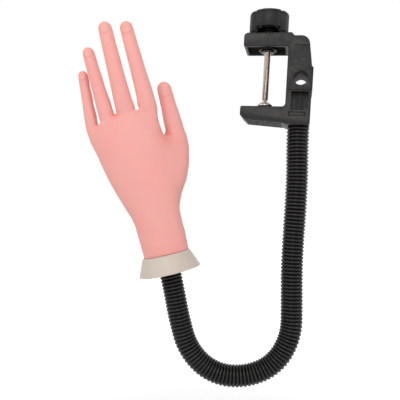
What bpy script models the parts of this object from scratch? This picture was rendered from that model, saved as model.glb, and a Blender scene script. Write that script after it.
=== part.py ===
"""A nail practice hand: a posable rubber hand on a bendable arm with a screw clamp.

Lengths are in metres. The origin lies on the lower jaw's face, on the axis of the clamp's screw,
and Z runs up along that screw. X points from the open side of the clamp to its spine. The arm hangs
from the foot of the spine, turns up again in a U and carries the hand, fingers up, with the back of
the hand towards -Y.
"""

import math

import bmesh
import bpy
from mathutils import Matrix, Vector

# Clearances and counts
FIT_GAP = 0.0003
CUT_OVERRUN = 0.002
MERGE = 0.00001
ROUND_SIDES = 32
SMALL_ROUND_SIDES = 20
CORNER_STEPS = 4
SMOOTH_ANGLE = math.radians(35)

# Clamp frame
JAW_OPENING = 0.053
JAW_REACH = 0.0205
THROAT_DEPTH = 0.019
JAW_BREADTH = 0.030
UPPER_JAW_HEIGHT = 0.0123
LOWER_JAW_HEIGHT = 0.0122
LOWER_JAW_SLOPE = 0.0026
TIP_CHAMFER_REACH = 0.0046
TIP_CHAMFER_HEIGHT = 0.0042
SPINE_WIDTH = 0.022
SPINE_TOP_INSET = 0.0045
SPINE_TOP_DROP = 0.0028
SPINE_TAPER_HEIGHT = 0.035
SHOULDER_WIDTH = 0.005
FOOT_DROP = 0.0007
JAW_CORNER_RADIUS = 0.0035
SPINE_CORNER_RADIUS = 0.0075
THROAT_RADIUS = 0.003
RIM_ROUND = 0.0008
RIDGE_HEIGHT = 0.0016
RIDGE_PROUD = 0.0007
RIDGE_DROP = 0.0095

# Cross hole through the spine
CROSS_HOLE_RADIUS = 0.0061
CROSS_HOLE_HEIGHT = 0.0248
CROSS_BLOCK_HEIGHT = 0.0205
CROSS_BLOCK_PROUD = 0.0013
CROSS_BLOCK_SIDE_PROUD = 0.0006

# Socket for the arm, at the foot of the spine
ARM_INSET = 0.0122
SOCKET_RADIUS = 0.0060
SOCKET_DEPTH = 0.028
SOCKET_WALL = 0.0021
WINDOW_WIDTH = 0.0150
WINDOW_HEIGHT = 0.0165
WINDOW_FOOT = 0.0032
WINDOW_DEPTH = 0.0075
CLIP_HEIGHT = 0.0036
CLIP_WIDTH = 0.0148
CLIP_SHIFT = 0.0018
CLIP_DROP = 0.0092
CLIP_REACH = 0.0050
GROOVE_RADIUS = 0.0040

# Hollows under the jaws
UNDERSIDE_WALL = 0.0028
UPPER_HOLLOW_DEPTH = 0.0050
NUT_BOSS_RADIUS = 0.0082
LOWER_HOLLOW_DEPTH = 0.0055
LOWER_RIB_COUNT = 4
LOWER_RIB_WIDTH = 0.0022

# Screw, bushing, pad and knob
SCREW_RADIUS = 0.0030
SCREW_BALL_RADIUS = 0.0017
SCREW_NECK_RADIUS = 0.0012
SCREW_NECK_LENGTH = 0.0012
BUSHING_RADIUS = 0.0046
BUSHING_FLANGE_RADIUS = 0.0060
BUSHING_FLANGE = 0.0016
PAD_RADIUS = 0.0068
PAD_RIM = 0.0012
PAD_HEIGHT = 0.0035
PAD_HUB_RADIUS = 0.0040
PAD_LIFT = 0.0023
PAD_SOCKET_WALL = 0.0006
KNOB_LIFT = 0.0027
KNOB_HEIGHT = 0.0180
KNOB_RADIUS = 0.0176
KNOB_LOBES = 4
KNOB_FLUTE_RADIUS = 0.0017
KNOB_FLUTE_OFFSET = 0.0176
KNOB_LOBE_ROUND = 0.0006
KNOB_RIM_ROUND = 0.0014
KNOB_WALL = 0.0030
KNOB_HOLLOW_DEPTH = 0.0105
KNOB_HUB_RADIUS = 0.0062
KNOB_ROOF = 0.0035
KNOB_NOTCH_WIDTH = 0.0225
KNOB_NOTCH_HEIGHT = 0.0027

# Bendable arm
ARM_YAW = math.radians(11.7)
HOSE_RADIUS = 0.0100
HOSE_TROUGH_RADIUS = 0.0086
HOSE_BORE_RADIUS = 0.0060
CORE_RADIUS = 0.0051
SECTION_LENGTH = 0.0289
RIBS_PER_SECTION = 9
SECTION_TURNS_DEG = (-3, 2.5, 1.5, -1.5, -3, 1, 29, 38, 30, 37, 29.5, 5.5, -2.5)
TUBE_RESOLUTION = 2
CORE_STEP = 0.0072
TUBE_END_STEP = 0.0004

# Wrist collar and swivel
COLLAR_HEIGHT = 0.0160
COLLAR_FOOT_RADIUS = 0.0282
COLLAR_TOP_RADIUS = 0.0218
COLLAR_RIM = 0.0010
COLLAR_SHELL = 0.0024
COLLAR_FLOOR = 0.0065
SPIGOT_RADIUS = 0.0115
SPIGOT_TOP = 0.0460
SPIGOT_BORE_RADIUS = 0.0085
FERRULE_RADIUS = 0.0092
FERRULE_FLANGE = 0.0027
STUD_RADIUS = 0.0040
STUD_LENGTH = 0.0165
WASHER_RADIUS = 0.0075
WASHER_THICKNESS = 0.0010
NUT_RADIUS = 0.0072
NUT_HEIGHT = 0.0050
ANCHOR_HEIGHT = 0.0045

# Hand. Its own frame has Z up the forearm, X to the thumb's side and Y to the palm's side.
SECTION_SIDES = 20
DIGIT_SIDES = 14
SECTION_SQUARENESS = 2.3
# The palm's length is from the collar to the root of the middle finger.
PALM_LENGTH = 0.1317
PALM_BREADTH = 0.066
PALM_THICKNESS = 0.026
# Each row: height, sideways offset, half breadth, half thickness, rise towards the thumb's side.
PALM_SHARES = (
    (0.0021, 0.006, 0.312, 0.575, 0.00),
    (0.1178, 0.003, 0.321, 0.565, 0.00),
    (0.2246, -0.008, 0.321, 0.553, 0.00),
    (0.3010, -0.021, 0.342, 0.546, 0.00),
    (0.3842, -0.030, 0.394, 0.538, 0.00),
    (0.4685, -0.048, 0.433, 0.523, 0.00),
    (0.5595, -0.079, 0.458, 0.508, 0.00),
    (0.6584, -0.109, 0.473, 0.492, 0.01),
    (0.7719, -0.148, 0.479, 0.462, 0.03),
    (0.8595, -0.182, 0.487, 0.423, 0.07),
    (0.9213, -0.186, 0.485, 0.369, 0.11),
    (0.9607, -0.182, 0.465, 0.288, 0.14),
    (0.9843, -0.160, 0.410, 0.135, 0.15),
)
# The ball of the thumb. Each row: height, sideways offset, palmward offset, half breadth, half thickness.
THENAR_SHARES = (
    (0.2561, 0.152, 0.15, 0.136, 0.40),
    (0.3774, 0.212, 0.19, 0.174, 0.45),
    (0.4685, 0.288, 0.25, 0.212, 0.47),
    (0.5752, 0.364, 0.31, 0.218, 0.45),
    (0.6809, 0.424, 0.34, 0.203, 0.41),
    (0.7651, 0.462, 0.35, 0.170, 0.36),
    (0.8382, 0.485, 0.35, 0.128, 0.30),
)

# Digits. The root's place is in shares of the palm's breadth, thickness and length. The lean to the
# thumb's side and to the palm's side, and the bow, are shares of the rise from root to tip. The width
# and the thickness at the root are shares of the palm's breadth and thickness.
DIGIT_SHARES = {
    "little": {
        "root": (-0.6091, 0.1154, 0.9544), "lean": (0.0345, 0.0384), "bow": 0.0192,
        "width": 0.1697, "thickness": 0.4231,
    },
    "ring": {
        "root": (-0.3727, 0.0000, 0.9848), "lean": (-0.0685, 0.0446), "bow": 0.0208,
        "width": 0.2091, "thickness": 0.4923,
    },
    "middle": {
        "root": (-0.1091, -0.0308, 1.0000), "lean": (-0.0260, 0.0449), "bow": 0.0213,
        "width": 0.2470, "thickness": 0.5385,
    },
    "index": {
        "root": (0.2045, -0.0154, 1.0076), "lean": (-0.0514, 0.0427), "bow": 0.0201,
        "width": 0.2364, "thickness": 0.5231,
    },
    "thumb": {
        "root": (0.4848, 0.3500, 0.8405), "lean": (-0.0329, 0.0258), "bow": 0.0047,
        "width": 0.2545, "thickness": 0.5923,
    },
}
DIGIT_RISES = {"little": 0.0521, "ring": 0.0672, "middle": 0.0846, "index": 0.0797, "thumb": 0.0426}
# How a digit's breadth falls from its root to its tip, as a share of the root's.
DIGIT_WIDTH_SHARES = (
    (0.00, 1.00), (0.16, 0.97), (0.33, 0.90), (0.50, 0.84), (0.68, 0.81), (0.80, 0.785), (1.00, 0.72),
)
# The length of a tip's rounding, as a share of the digit's width at its root.
TIP_ROUND_SHARE = 0.36
TIP_LAST_SHARE = 0.985
DIGIT_STATIONS = 14
STUB_LENGTH = 0.015
STUB_TAPER_SHARE = 0.30
KNUCKLE_OFFSET = 0.0078
FLEX_LENGTH = 0.0100
MIDDLE_JOINT_SHARE = 0.50
WIRE_RADIUS = 0.0011
WIRE_BORE_RADIUS = 0.0016
WIRE_END_SHARE = 0.80
WIRE_SPACING = 0.0038
WIRE_POINTS = 6

# Worked-out places
UPPER_JAW_TOP = JAW_OPENING + UPPER_JAW_HEIGHT
SPINE_BACK = THROAT_DEPTH + SPINE_WIDTH
THROAT_FOOT = -LOWER_JAW_HEIGHT - LOWER_JAW_SLOPE
FOOT_HEIGHT = THROAT_FOOT - FOOT_DROP
ARM_X = THROAT_DEPTH + ARM_INSET
CLIP_START = ARM_X - CLIP_SHIFT - CLIP_WIDTH / 2
HOSE_TOP = FOOT_HEIGHT - FIT_GAP
RIB_PITCH = SECTION_LENGTH / RIBS_PER_SECTION
HOSE_LENGTH = SECTION_LENGTH * len(SECTION_TURNS_DEG)
KNOB_FOOT = UPPER_JAW_TOP + KNOB_LIFT

COLLECTION_NAME = "nail_practice_hand"
CUTTER_COLLECTION_NAME = "cutters"
AXIS_SIZE = 0.01


# Scene and material helpers


def clear_scene():
    """Removes whatever the file holds."""
    for obj in list(bpy.data.objects):
        bpy.data.objects.remove(obj, do_unlink=True)
    for name in (COLLECTION_NAME, CUTTER_COLLECTION_NAME):
        collection = bpy.data.collections.get(name)
        if collection:
            bpy.data.collections.remove(collection)


def new_collection(name):
    collection = bpy.data.collections.new(name)
    bpy.context.scene.collection.children.link(collection)
    return collection


def make_material(name, colour, roughness, metallic=0.0):
    material = bpy.data.materials.new(name)
    material.use_nodes = True
    shader = material.node_tree.nodes["Principled BSDF"]
    shader.inputs["Base Color"].default_value = (*colour, 1.0)
    shader.inputs["Roughness"].default_value = roughness
    shader.inputs["Metallic"].default_value = metallic
    return material


def smooth(obj):
    """Shades an object smooth, with its sharp edges kept."""
    obj.data.shade_smooth()
    obj.data.set_sharp_from_angle(angle=SMOOTH_ANGLE)


def add_part(name, mesh, material, parent=None, world=None):
    """Puts a mesh in the model's collection. world is the object's place, whatever its parent."""
    obj = bpy.data.objects.new(name, mesh)
    bpy.data.collections[COLLECTION_NAME].objects.link(obj)
    mesh.materials.clear()
    mesh.materials.append(material)
    smooth(obj)
    set_place(obj, parent, world or Matrix())
    return obj


def set_place(obj, parent, world):
    obj.parent = parent
    if parent:
        obj.matrix_parent_inverse = placed[parent.name].inverted()
    obj.matrix_basis = world
    placed[obj.name] = world.copy()


def add_axis(name, world, parent=None):
    """An empty on a joint's axis, which carries the pieces that the joint moves."""
    empty = bpy.data.objects.new(name, None)
    empty.empty_display_size = AXIS_SIZE
    bpy.data.collections[COLLECTION_NAME].objects.link(empty)
    set_place(empty, parent, world)
    return empty


def add_cutter(name, mesh, world=None):
    obj = bpy.data.objects.new(name, mesh)
    bpy.data.collections[CUTTER_COLLECTION_NAME].objects.link(obj)
    obj.hide_render = True
    obj.display_type = "WIRE"
    obj.matrix_basis = world or Matrix()
    return obj


def boolean(obj, other, operation="DIFFERENCE"):
    modifier = obj.modifiers.new(other.name, "BOOLEAN")
    modifier.operation = operation
    modifier.object = other
    modifier.solver = "EXACT"
    return obj


# Mesh helpers


def mesh_from(bm, name):
    mesh = bpy.data.meshes.new(name)
    bmesh.ops.recalc_face_normals(bm, faces=bm.faces)
    bm.to_mesh(mesh)
    bm.free()
    return mesh


def box_mesh(name, low, high):
    """A box between two corners."""
    bm = bmesh.new()
    bmesh.ops.create_cube(bm, size=1.0)
    size = [b - a for a, b in zip(low, high)]
    centre = [(a + b) / 2 for a, b in zip(low, high)]
    bmesh.ops.scale(bm, vec=size, verts=bm.verts)
    bmesh.ops.translate(bm, vec=centre, verts=bm.verts)
    return mesh_from(bm, name)


def cylinder_mesh(name, radius, foot, top, sides=ROUND_SIDES, centre=(0.0, 0.0), along="Z"):
    """A cylinder from foot to top along an axis, with its centre in the other two axes' order."""
    bm = bmesh.new()
    bmesh.ops.create_cone(
        bm, cap_ends=True, segments=sides, radius1=radius, radius2=radius, depth=top - foot
    )
    middle = (foot + top) / 2
    if along == "Y":
        bmesh.ops.rotate(bm, matrix=Matrix.Rotation(math.pi / 2, 3, "X"), verts=bm.verts)
        offset = (centre[0], middle, centre[1])
    else:
        offset = (centre[0], centre[1], middle)
    bmesh.ops.translate(bm, vec=offset, verts=bm.verts)
    return mesh_from(bm, name)


def evaluated_mesh(obj, name):
    """The mesh that an object's modifiers or curve settings give, with loose caps welded."""
    depsgraph = bpy.context.evaluated_depsgraph_get()
    mesh = bpy.data.meshes.new_from_object(obj.evaluated_get(depsgraph))
    mesh.name = name
    bm = bmesh.new()
    bm.from_mesh(mesh)
    bmesh.ops.remove_doubles(bm, verts=bm.verts, dist=MERGE)
    bmesh.ops.recalc_face_normals(bm, faces=bm.faces)
    bm.to_mesh(mesh)
    bm.free()
    return mesh


def bake(source, name):
    """Turns a curve or an object with modifiers into a plain mesh and removes the source."""
    mesh = evaluated_mesh(source, name)
    bpy.data.objects.remove(source, do_unlink=True)
    return mesh


def tube_mesh(name, points, radii, resolution=TUBE_RESOLUTION):
    """A filled tube along points, with a radius at each."""
    curve = bpy.data.curves.new(name, "CURVE")
    curve.dimensions = "3D"
    curve.bevel_depth = max(radii)
    curve.bevel_resolution = resolution
    curve.use_fill_caps = True
    spline = curve.splines.new("POLY")
    spline.points.add(len(points) - 1)
    for slot, point, radius in zip(spline.points, points, radii):
        slot.co = (*point, 1.0)
        slot.radius = radius / curve.bevel_depth
    return bake(add_cutter(name, curve), name)


def turned_mesh(name, profile, sides=ROUND_SIDES):
    """A turned solid. The profile is (radius, height) from the top down its outer side."""
    mesh = bpy.data.meshes.new(name)
    points = [(radius, 0.0, height) for radius, height in profile]
    mesh.from_pydata(points, [(i, i + 1) for i in range(len(points) - 1)], [])
    obj = add_cutter(name, mesh)
    screw = obj.modifiers.new("turn", "SCREW")
    screw.axis = "Z"
    screw.steps = sides
    screw.render_steps = sides
    screw.use_merge_vertices = True
    screw.merge_threshold = MERGE
    return bake(obj, name)


def plate_mesh(name, outline, thickness, rim=0.0):
    """A flat outline in XY, extruded both ways from z = 0, with rounded rims if asked."""
    curve = bpy.data.curves.new(name, "CURVE")
    curve.dimensions = "2D"
    curve.fill_mode = "BOTH"
    curve.extrude = thickness / 2 - rim
    curve.bevel_depth = rim
    curve.bevel_resolution = 1
    curve.offset = -rim
    spline = curve.splines.new("POLY")
    spline.points.add(len(outline) - 1)
    spline.use_cyclic_u = True
    for slot, point in zip(spline.points, outline):
        slot.co = (*point, 0.0, 1.0)
    return bake(add_cutter(name, curve), name)


def rounded_outline(corners, steps=CORNER_STEPS):
    """Corners are (x, y, radius) in order. Each becomes an arc of its radius."""
    outline = []
    count = len(corners)
    for i, (x, y, radius) in enumerate(corners):
        corner = Vector((x, y))
        if not radius:
            outline.append(tuple(corner))
            continue
        before = (Vector(corners[i - 1][:2]) - corner).normalized()
        after = (Vector(corners[(i + 1) % count][:2]) - corner).normalized()
        half = before.angle(after) / 2
        centre = corner + (before + after).normalized() * (radius / math.sin(half))
        start = corner + before * (radius / math.tan(half)) - centre
        end = corner + after * (radius / math.tan(half)) - centre
        sweep = start.angle_signed(end)
        for k in range(steps + 1):
            turned = start.copy()
            turned.rotate(Matrix.Rotation(-sweep * k / steps, 2))
            outline.append(tuple(centre + turned))
    return outline


def superellipse(half_x, half_y, sides):
    """Points round a rounded oval."""
    power = 2 / SECTION_SQUARENESS
    points = []
    for k in range(sides):
        angle = 2 * math.pi * k / sides
        c, s = math.cos(angle), math.sin(angle)
        x = half_x * math.copysign(abs(c) ** power, c)
        y = half_y * math.copysign(abs(s) ** power, s)
        points.append((x, y))
    return points


def loft_mesh(name, sections, sides):
    """A skin over oval sections. Each is (centre, half_x, half_y, rise), rise being its slope in X."""
    bm = bmesh.new()
    rings = []
    for centre, half_x, half_y, rise in sections:
        ring = []
        for x, y in superellipse(half_x, half_y, sides):
            ring.append(bm.verts.new((centre[0] + x, centre[1] + y, centre[2] + x * rise)))
        rings.append(ring)
    for low, high in zip(rings, rings[1:]):
        for k in range(sides):
            after = (k + 1) % sides
            bm.faces.new((low[k], low[after], high[after], high[k]))
    bm.faces.new(list(reversed(rings[0])))
    bm.faces.new(rings[-1])
    return mesh_from(bm, name)


def interpolate(rows, at):
    """A value between the rows of an (at, value) table, with smooth steps between them."""
    for (a, low), (b, high) in zip(rows, rows[1:]):
        if at <= b:
            t = max(0.0, (at - a) / (b - a))
            return low + (high - low) * t
    return rows[-1][1]


# Clamp


def frame_outline():
    """The clamp's C, seen from the front: X across, Z up."""
    top = UPPER_JAW_TOP
    spine_top = top - SPINE_TOP_DROP
    taper_foot = top - SPINE_TAPER_HEIGHT
    shoulder = THROAT_DEPTH + SHOULDER_WIDTH
    edge = RIM_ROUND * 2
    return rounded_outline(
        (
            (-JAW_REACH, -LOWER_JAW_HEIGHT + TIP_CHAMFER_HEIGHT, edge),
            (-JAW_REACH + TIP_CHAMFER_REACH, -LOWER_JAW_HEIGHT, edge),
            (THROAT_DEPTH, THROAT_FOOT, 0.0),
            (THROAT_DEPTH, FOOT_HEIGHT, 0.0),
            (SPINE_BACK, FOOT_HEIGHT, edge),
            (SPINE_BACK, taper_foot, SPINE_CORNER_RADIUS),
            (SPINE_BACK - SPINE_TOP_INSET, spine_top, SPINE_CORNER_RADIUS),
            (shoulder, spine_top, 0.0),
            (shoulder - SPINE_TOP_DROP, top, 0.0),
            (-JAW_REACH, top, JAW_CORNER_RADIUS),
            (-JAW_REACH, JAW_OPENING, edge),
            (THROAT_DEPTH, JAW_OPENING, edge),
            (THROAT_DEPTH, 0.0, THROAT_RADIUS),
            (-JAW_REACH, 0.0, edge),
        )
    )


def upright(mesh):
    """Stands a flat XY shape up, so that its Y becomes Z."""
    mesh.transform(Matrix.Rotation(math.pi / 2, 4, "X"))
    return mesh


def hollow_round_boss(name, low, high, radius, centre):
    """A box cutter that leaves a round boss standing in it."""
    cutter = add_cutter(name, box_mesh(name, low, high))
    boss = cylinder_mesh(
        name + "_boss", radius, low[2] - CUT_OVERRUN, high[2] + CUT_OVERRUN, centre=centre
    )
    boolean(cutter, add_cutter(name + "_boss", boss))
    return add_cutter(name + "_cutter", bake(cutter, name + "_cutter"))


def build_clamp_frame(material):
    frame = add_part(
        "clamp_frame",
        upright(plate_mesh("clamp_frame", frame_outline(), JAW_BREADTH, RIM_ROUND)),
        material,
    )
    half = JAW_BREADTH / 2
    arm = (ARM_X, 0.0)

    block_half = CROSS_BLOCK_HEIGHT / 2
    block_back = SPINE_BACK + CROSS_BLOCK_SIDE_PROUD
    block = upright(
        plate_mesh(
            "cross_block",
            (
                (THROAT_DEPTH + RIM_ROUND, CROSS_HOLE_HEIGHT - block_half),
                (block_back, CROSS_HOLE_HEIGHT - block_half),
                (block_back, CROSS_HOLE_HEIGHT + block_half - 2 * CROSS_BLOCK_SIDE_PROUD),
                (block_back - 2 * CROSS_BLOCK_SIDE_PROUD, CROSS_HOLE_HEIGHT + block_half),
                (THROAT_DEPTH + RIM_ROUND, CROSS_HOLE_HEIGHT + block_half),
            ),
            JAW_BREADTH + 2 * CROSS_BLOCK_PROUD,
        )
    )
    boolean(frame, add_cutter("cross_block", block), "UNION")
    ridge_top = UPPER_JAW_TOP - RIDGE_DROP
    ridge = box_mesh(
        "spine_ridge",
        (THROAT_DEPTH + SHOULDER_WIDTH, -half - RIDGE_PROUD, ridge_top - RIDGE_HEIGHT),
        (SPINE_BACK - SPINE_TOP_INSET + RIDGE_PROUD, half + RIDGE_PROUD, ridge_top),
    )
    boolean(frame, add_cutter("spine_ridge", ridge), "UNION")

    reach = half + CROSS_BLOCK_PROUD + CUT_OVERRUN
    hole = cylinder_mesh(
        "cross_hole", CROSS_HOLE_RADIUS, -reach, reach, centre=(ARM_X, CROSS_HOLE_HEIGHT), along="Y"
    )
    boolean(frame, add_cutter("cross_hole", hole))

    socket_foot = FOOT_HEIGHT - CUT_OVERRUN
    socket_top = FOOT_HEIGHT + SOCKET_DEPTH
    socket = cylinder_mesh("arm_socket", SOCKET_RADIUS, socket_foot, socket_top, centre=arm)
    boolean(frame, add_cutter("arm_socket", socket))

    window = hollow_round_boss(
        "socket_window",
        (ARM_X - WINDOW_WIDTH / 2, -half - CUT_OVERRUN, -WINDOW_FOOT),
        (ARM_X + WINDOW_WIDTH / 2, -half + WINDOW_DEPTH, -WINDOW_FOOT + WINDOW_HEIGHT),
        SOCKET_RADIUS + SOCKET_WALL,
        arm,
    )
    boolean(frame, window)

    clip_middle = FOOT_HEIGHT + CLIP_DROP
    slot = box_mesh(
        "clip_slot",
        (CLIP_START, -half - CUT_OVERRUN, clip_middle - CLIP_HEIGHT / 2),
        (CLIP_START + CLIP_WIDTH, CLIP_REACH, clip_middle + CLIP_HEIGHT / 2),
    )
    boolean(frame, add_cutter("clip_slot", slot))

    hollow = hollow_round_boss(
        "upper_hollow",
        (-JAW_REACH + UNDERSIDE_WALL, -half + UNDERSIDE_WALL, JAW_OPENING - CUT_OVERRUN),
        (THROAT_DEPTH - UNDERSIDE_WALL, half - UNDERSIDE_WALL, JAW_OPENING + UPPER_HOLLOW_DEPTH),
        NUT_BOSS_RADIUS,
        (0.0, 0.0),
    )
    boolean(frame, hollow)
    bore = cylinder_mesh(
        "bushing_bore",
        BUSHING_RADIUS + FIT_GAP,
        JAW_OPENING - CUT_OVERRUN,
        UPPER_JAW_TOP + CUT_OVERRUN,
        sides=SMALL_ROUND_SIDES,
    )
    boolean(frame, add_cutter("bushing_bore", bore))

    inside = JAW_BREADTH - 2 * UNDERSIDE_WALL
    groove = (inside - (LOWER_RIB_COUNT - 1) * LOWER_RIB_WIDTH) / LOWER_RIB_COUNT
    for k in range(LOWER_RIB_COUNT):
        start = -half + UNDERSIDE_WALL + k * (groove + LOWER_RIB_WIDTH)
        channel = box_mesh(
            "under_channel",
            (-JAW_REACH + TIP_CHAMFER_REACH + RIM_ROUND, start, FOOT_HEIGHT - CUT_OVERRUN),
            (THROAT_DEPTH - UNDERSIDE_WALL, start + groove, -LOWER_JAW_HEIGHT + LOWER_HOLLOW_DEPTH),
        )
        boolean(frame, add_cutter("under_channel", channel))
    return frame


def build_bushing(material):
    """The threaded bushing in the upper jaw, with its flange against the boss below."""
    inner = SCREW_RADIUS + FIT_GAP
    flange_top = JAW_OPENING - FIT_GAP
    profile = (
        (inner, UPPER_JAW_TOP),
        (BUSHING_RADIUS, UPPER_JAW_TOP),
        (BUSHING_RADIUS, flange_top),
        (BUSHING_FLANGE_RADIUS, flange_top),
        (BUSHING_FLANGE_RADIUS, flange_top - BUSHING_FLANGE),
        (inner, flange_top - BUSHING_FLANGE),
        (inner, UPPER_JAW_TOP),
    )
    return add_part("screw_bushing", turned_mesh("screw_bushing", profile, SMALL_ROUND_SIDES), material)


def ball_profile(radius, centre, neck, steps=6):
    """The lower part of a ball, from its neck down to its pole, as a turned profile."""
    start = math.asin(neck / radius)
    angles = [start + (math.pi - start) * k / steps for k in range(steps + 1)]
    return [(radius * math.sin(a), centre + radius * math.cos(a)) for a in angles[:-1]] + [
        (0.0, centre - radius)
    ]


def build_screw(material, axis):
    """The clamp's screw, from the end in the knob down to the ball in the pad."""
    ball = PAD_LIFT + PAD_SOCKET_WALL + FIT_GAP + SCREW_BALL_RADIUS
    neck_foot = ball + math.sqrt(SCREW_BALL_RADIUS**2 - SCREW_NECK_RADIUS**2)
    top = KNOB_FOOT + KNOB_HEIGHT - KNOB_ROOF - FIT_GAP
    profile = [
        (0.0, top),
        (SCREW_RADIUS, top),
        (SCREW_RADIUS, neck_foot + SCREW_NECK_LENGTH),
        (SCREW_NECK_RADIUS, neck_foot + SCREW_NECK_LENGTH),
    ] + ball_profile(SCREW_BALL_RADIUS, ball, SCREW_NECK_RADIUS)
    return add_part(
        "clamp_screw", turned_mesh("clamp_screw", profile, SMALL_ROUND_SIDES), material, axis
    )


def build_pad(material, axis):
    """The swivelling pressure pad, with a socket round the screw's ball."""
    ball = PAD_LIFT + PAD_SOCKET_WALL + FIT_GAP + SCREW_BALL_RADIUS
    top = PAD_LIFT + PAD_HEIGHT
    socket = SCREW_BALL_RADIUS + FIT_GAP
    mouth = SCREW_NECK_RADIUS + FIT_GAP
    inside = [
        (radius, height)
        for radius, height in ball_profile(socket, ball, mouth)
        if height < top
    ]
    inside.reverse()
    profile = inside + [
        (inside[-1][0], top),
        (PAD_HUB_RADIUS, top),
        (PAD_RADIUS, PAD_LIFT + PAD_RIM),
        (PAD_RADIUS, PAD_LIFT),
        (0.0, PAD_LIFT),
    ]
    return add_part(
        "pressure_pad", turned_mesh("pressure_pad", profile, SMALL_ROUND_SIDES), material, axis
    )


def knob_outline():
    """A round knob with flutes between its lobes; one lobe faces the front."""
    step = 2 * math.pi / KNOB_LOBES
    cos_half = (KNOB_RADIUS**2 + KNOB_FLUTE_OFFSET**2 - KNOB_FLUTE_RADIUS**2) / (
        2 * KNOB_RADIUS * KNOB_FLUTE_OFFSET
    )
    flute_half = math.acos(cos_half)
    outline = []
    for lobe in range(KNOB_LOBES):
        middle = -math.pi / 2 + lobe * step
        span = step / 2 - flute_half
        for k in range(CORNER_STEPS * 2 + 1):
            angle = middle - span + 2 * span * k / (CORNER_STEPS * 2)
            corner = KNOB_LOBE_ROUND if k in (0, CORNER_STEPS * 2) else 0.0
            outline.append((KNOB_RADIUS * math.cos(angle), KNOB_RADIUS * math.sin(angle), corner))
        flute = middle + step / 2
        centre = Vector((math.cos(flute), math.sin(flute))) * KNOB_FLUTE_OFFSET
        start = Vector(outline[-1][:2]) - centre
        rim = Vector((math.cos(flute + flute_half), math.sin(flute + flute_half))) * KNOB_RADIUS
        sweep = start.angle_signed(rim - centre)
        for k in range(1, CORNER_STEPS + 1):
            turned = start.copy()
            turned.rotate(Matrix.Rotation(-sweep * k / (CORNER_STEPS + 1), 2))
            outline.append((*(centre + turned), 0.0))
    return rounded_outline(outline, steps=2)


def build_knob(material, axis):
    middle = KNOB_FOOT + KNOB_HEIGHT / 2
    mesh = plate_mesh("clamp_knob", knob_outline(), KNOB_HEIGHT, KNOB_RIM_ROUND)
    mesh.transform(Matrix.Translation((0.0, 0.0, middle)))
    knob = add_part("clamp_knob", mesh, material, axis)
    inner = KNOB_FLUTE_OFFSET - KNOB_FLUTE_RADIUS - KNOB_WALL + FIT_GAP
    hollow_profile = (
        (KNOB_HUB_RADIUS, KNOB_FOOT + KNOB_HOLLOW_DEPTH),
        (inner, KNOB_FOOT + KNOB_HOLLOW_DEPTH),
        (inner, KNOB_FOOT - CUT_OVERRUN),
        (KNOB_HUB_RADIUS, KNOB_FOOT - CUT_OVERRUN),
        (KNOB_HUB_RADIUS, KNOB_FOOT + KNOB_HOLLOW_DEPTH),
    )
    boolean(knob, add_cutter("knob_hollow", turned_mesh("knob_hollow", hollow_profile)))
    for name, low, high in (
        ("knob_front_notch", -KNOB_RADIUS - CUT_OVERRUN, -KNOB_HUB_RADIUS - FIT_GAP),
        ("knob_back_notch", KNOB_HUB_RADIUS + FIT_GAP, KNOB_RADIUS + CUT_OVERRUN),
    ):
        notch = box_mesh(
            name,
            (-KNOB_NOTCH_WIDTH / 2, low, KNOB_FOOT - CUT_OVERRUN),
            (KNOB_NOTCH_WIDTH / 2, high, KNOB_FOOT + KNOB_NOTCH_HEIGHT),
        )
        boolean(knob, add_cutter(name, notch))
    bore = cylinder_mesh(
        "knob_bore",
        SCREW_RADIUS + FIT_GAP,
        KNOB_FOOT - CUT_OVERRUN,
        KNOB_FOOT + KNOB_HEIGHT - KNOB_ROOF,
        sides=SMALL_ROUND_SIDES,
    )
    boolean(knob, add_cutter("knob_bore", bore))
    return knob


def build_clamp_ferrule(material):
    """The arm's end fitting in the clamp's socket, with a groove for the clip."""
    radius = SOCKET_RADIUS - FIT_GAP
    top = FOOT_HEIGHT + SOCKET_DEPTH - FIT_GAP
    middle = FOOT_HEIGHT + CLIP_DROP
    groove = CLIP_HEIGHT / 2
    profile = (
        (0.0, top),
        (radius - RIM_ROUND, top),
        (radius, top - RIM_ROUND),
        (radius, middle + groove),
        (GROOVE_RADIUS, middle + groove),
        (GROOVE_RADIUS, middle - groove),
        (radius, middle - groove),
        (radius, FOOT_HEIGHT),
        (0.0, FOOT_HEIGHT),
    )
    mesh = turned_mesh("clamp_ferrule", profile, SMALL_ROUND_SIDES)
    mesh.transform(Matrix.Translation((ARM_X, 0.0, 0.0)))
    return add_part("clamp_ferrule", mesh, material)


def build_clip(material):
    """The forked clip that slides in from the front and holds the ferrule by its groove."""
    thickness = CLIP_HEIGHT - 2 * FIT_GAP
    left = CLIP_START - ARM_X + FIT_GAP
    right = CLIP_START + CLIP_WIDTH - ARM_X - FIT_GAP
    fork = GROOVE_RADIUS + FIT_GAP
    front = -JAW_BREADTH / 2 + RIM_ROUND
    back = CLIP_REACH - FIT_GAP
    steps = CORNER_STEPS * 3
    arc = [
        (fork * math.cos(math.pi * k / steps), -fork * math.sin(math.pi * k / steps))
        for k in range(steps + 1)
    ]
    outline = [(left, front), (right, front), (right, back), (fork, back)] + arc
    outline += [(-fork, back), (left, back)]
    mesh = plate_mesh("retaining_clip", outline, thickness)
    mesh.transform(Matrix.Translation((ARM_X, 0.0, FOOT_HEIGHT + CLIP_DROP)))
    return add_part("retaining_clip", mesh, material)


# Bendable arm


def arm_start():
    """The frame where the hose leaves the clamp: Z along the hose, Y square to the arm's plane."""
    normal = Vector((-math.sin(ARM_YAW), math.cos(ARM_YAW), 0.0))
    along = Vector((0.0, 0.0, -1.0))
    side = normal.cross(along)
    frame = Matrix((side, normal, along)).transposed().to_4x4()
    frame.translation = (ARM_X, 0.0, HOSE_TOP)
    return frame


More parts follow.
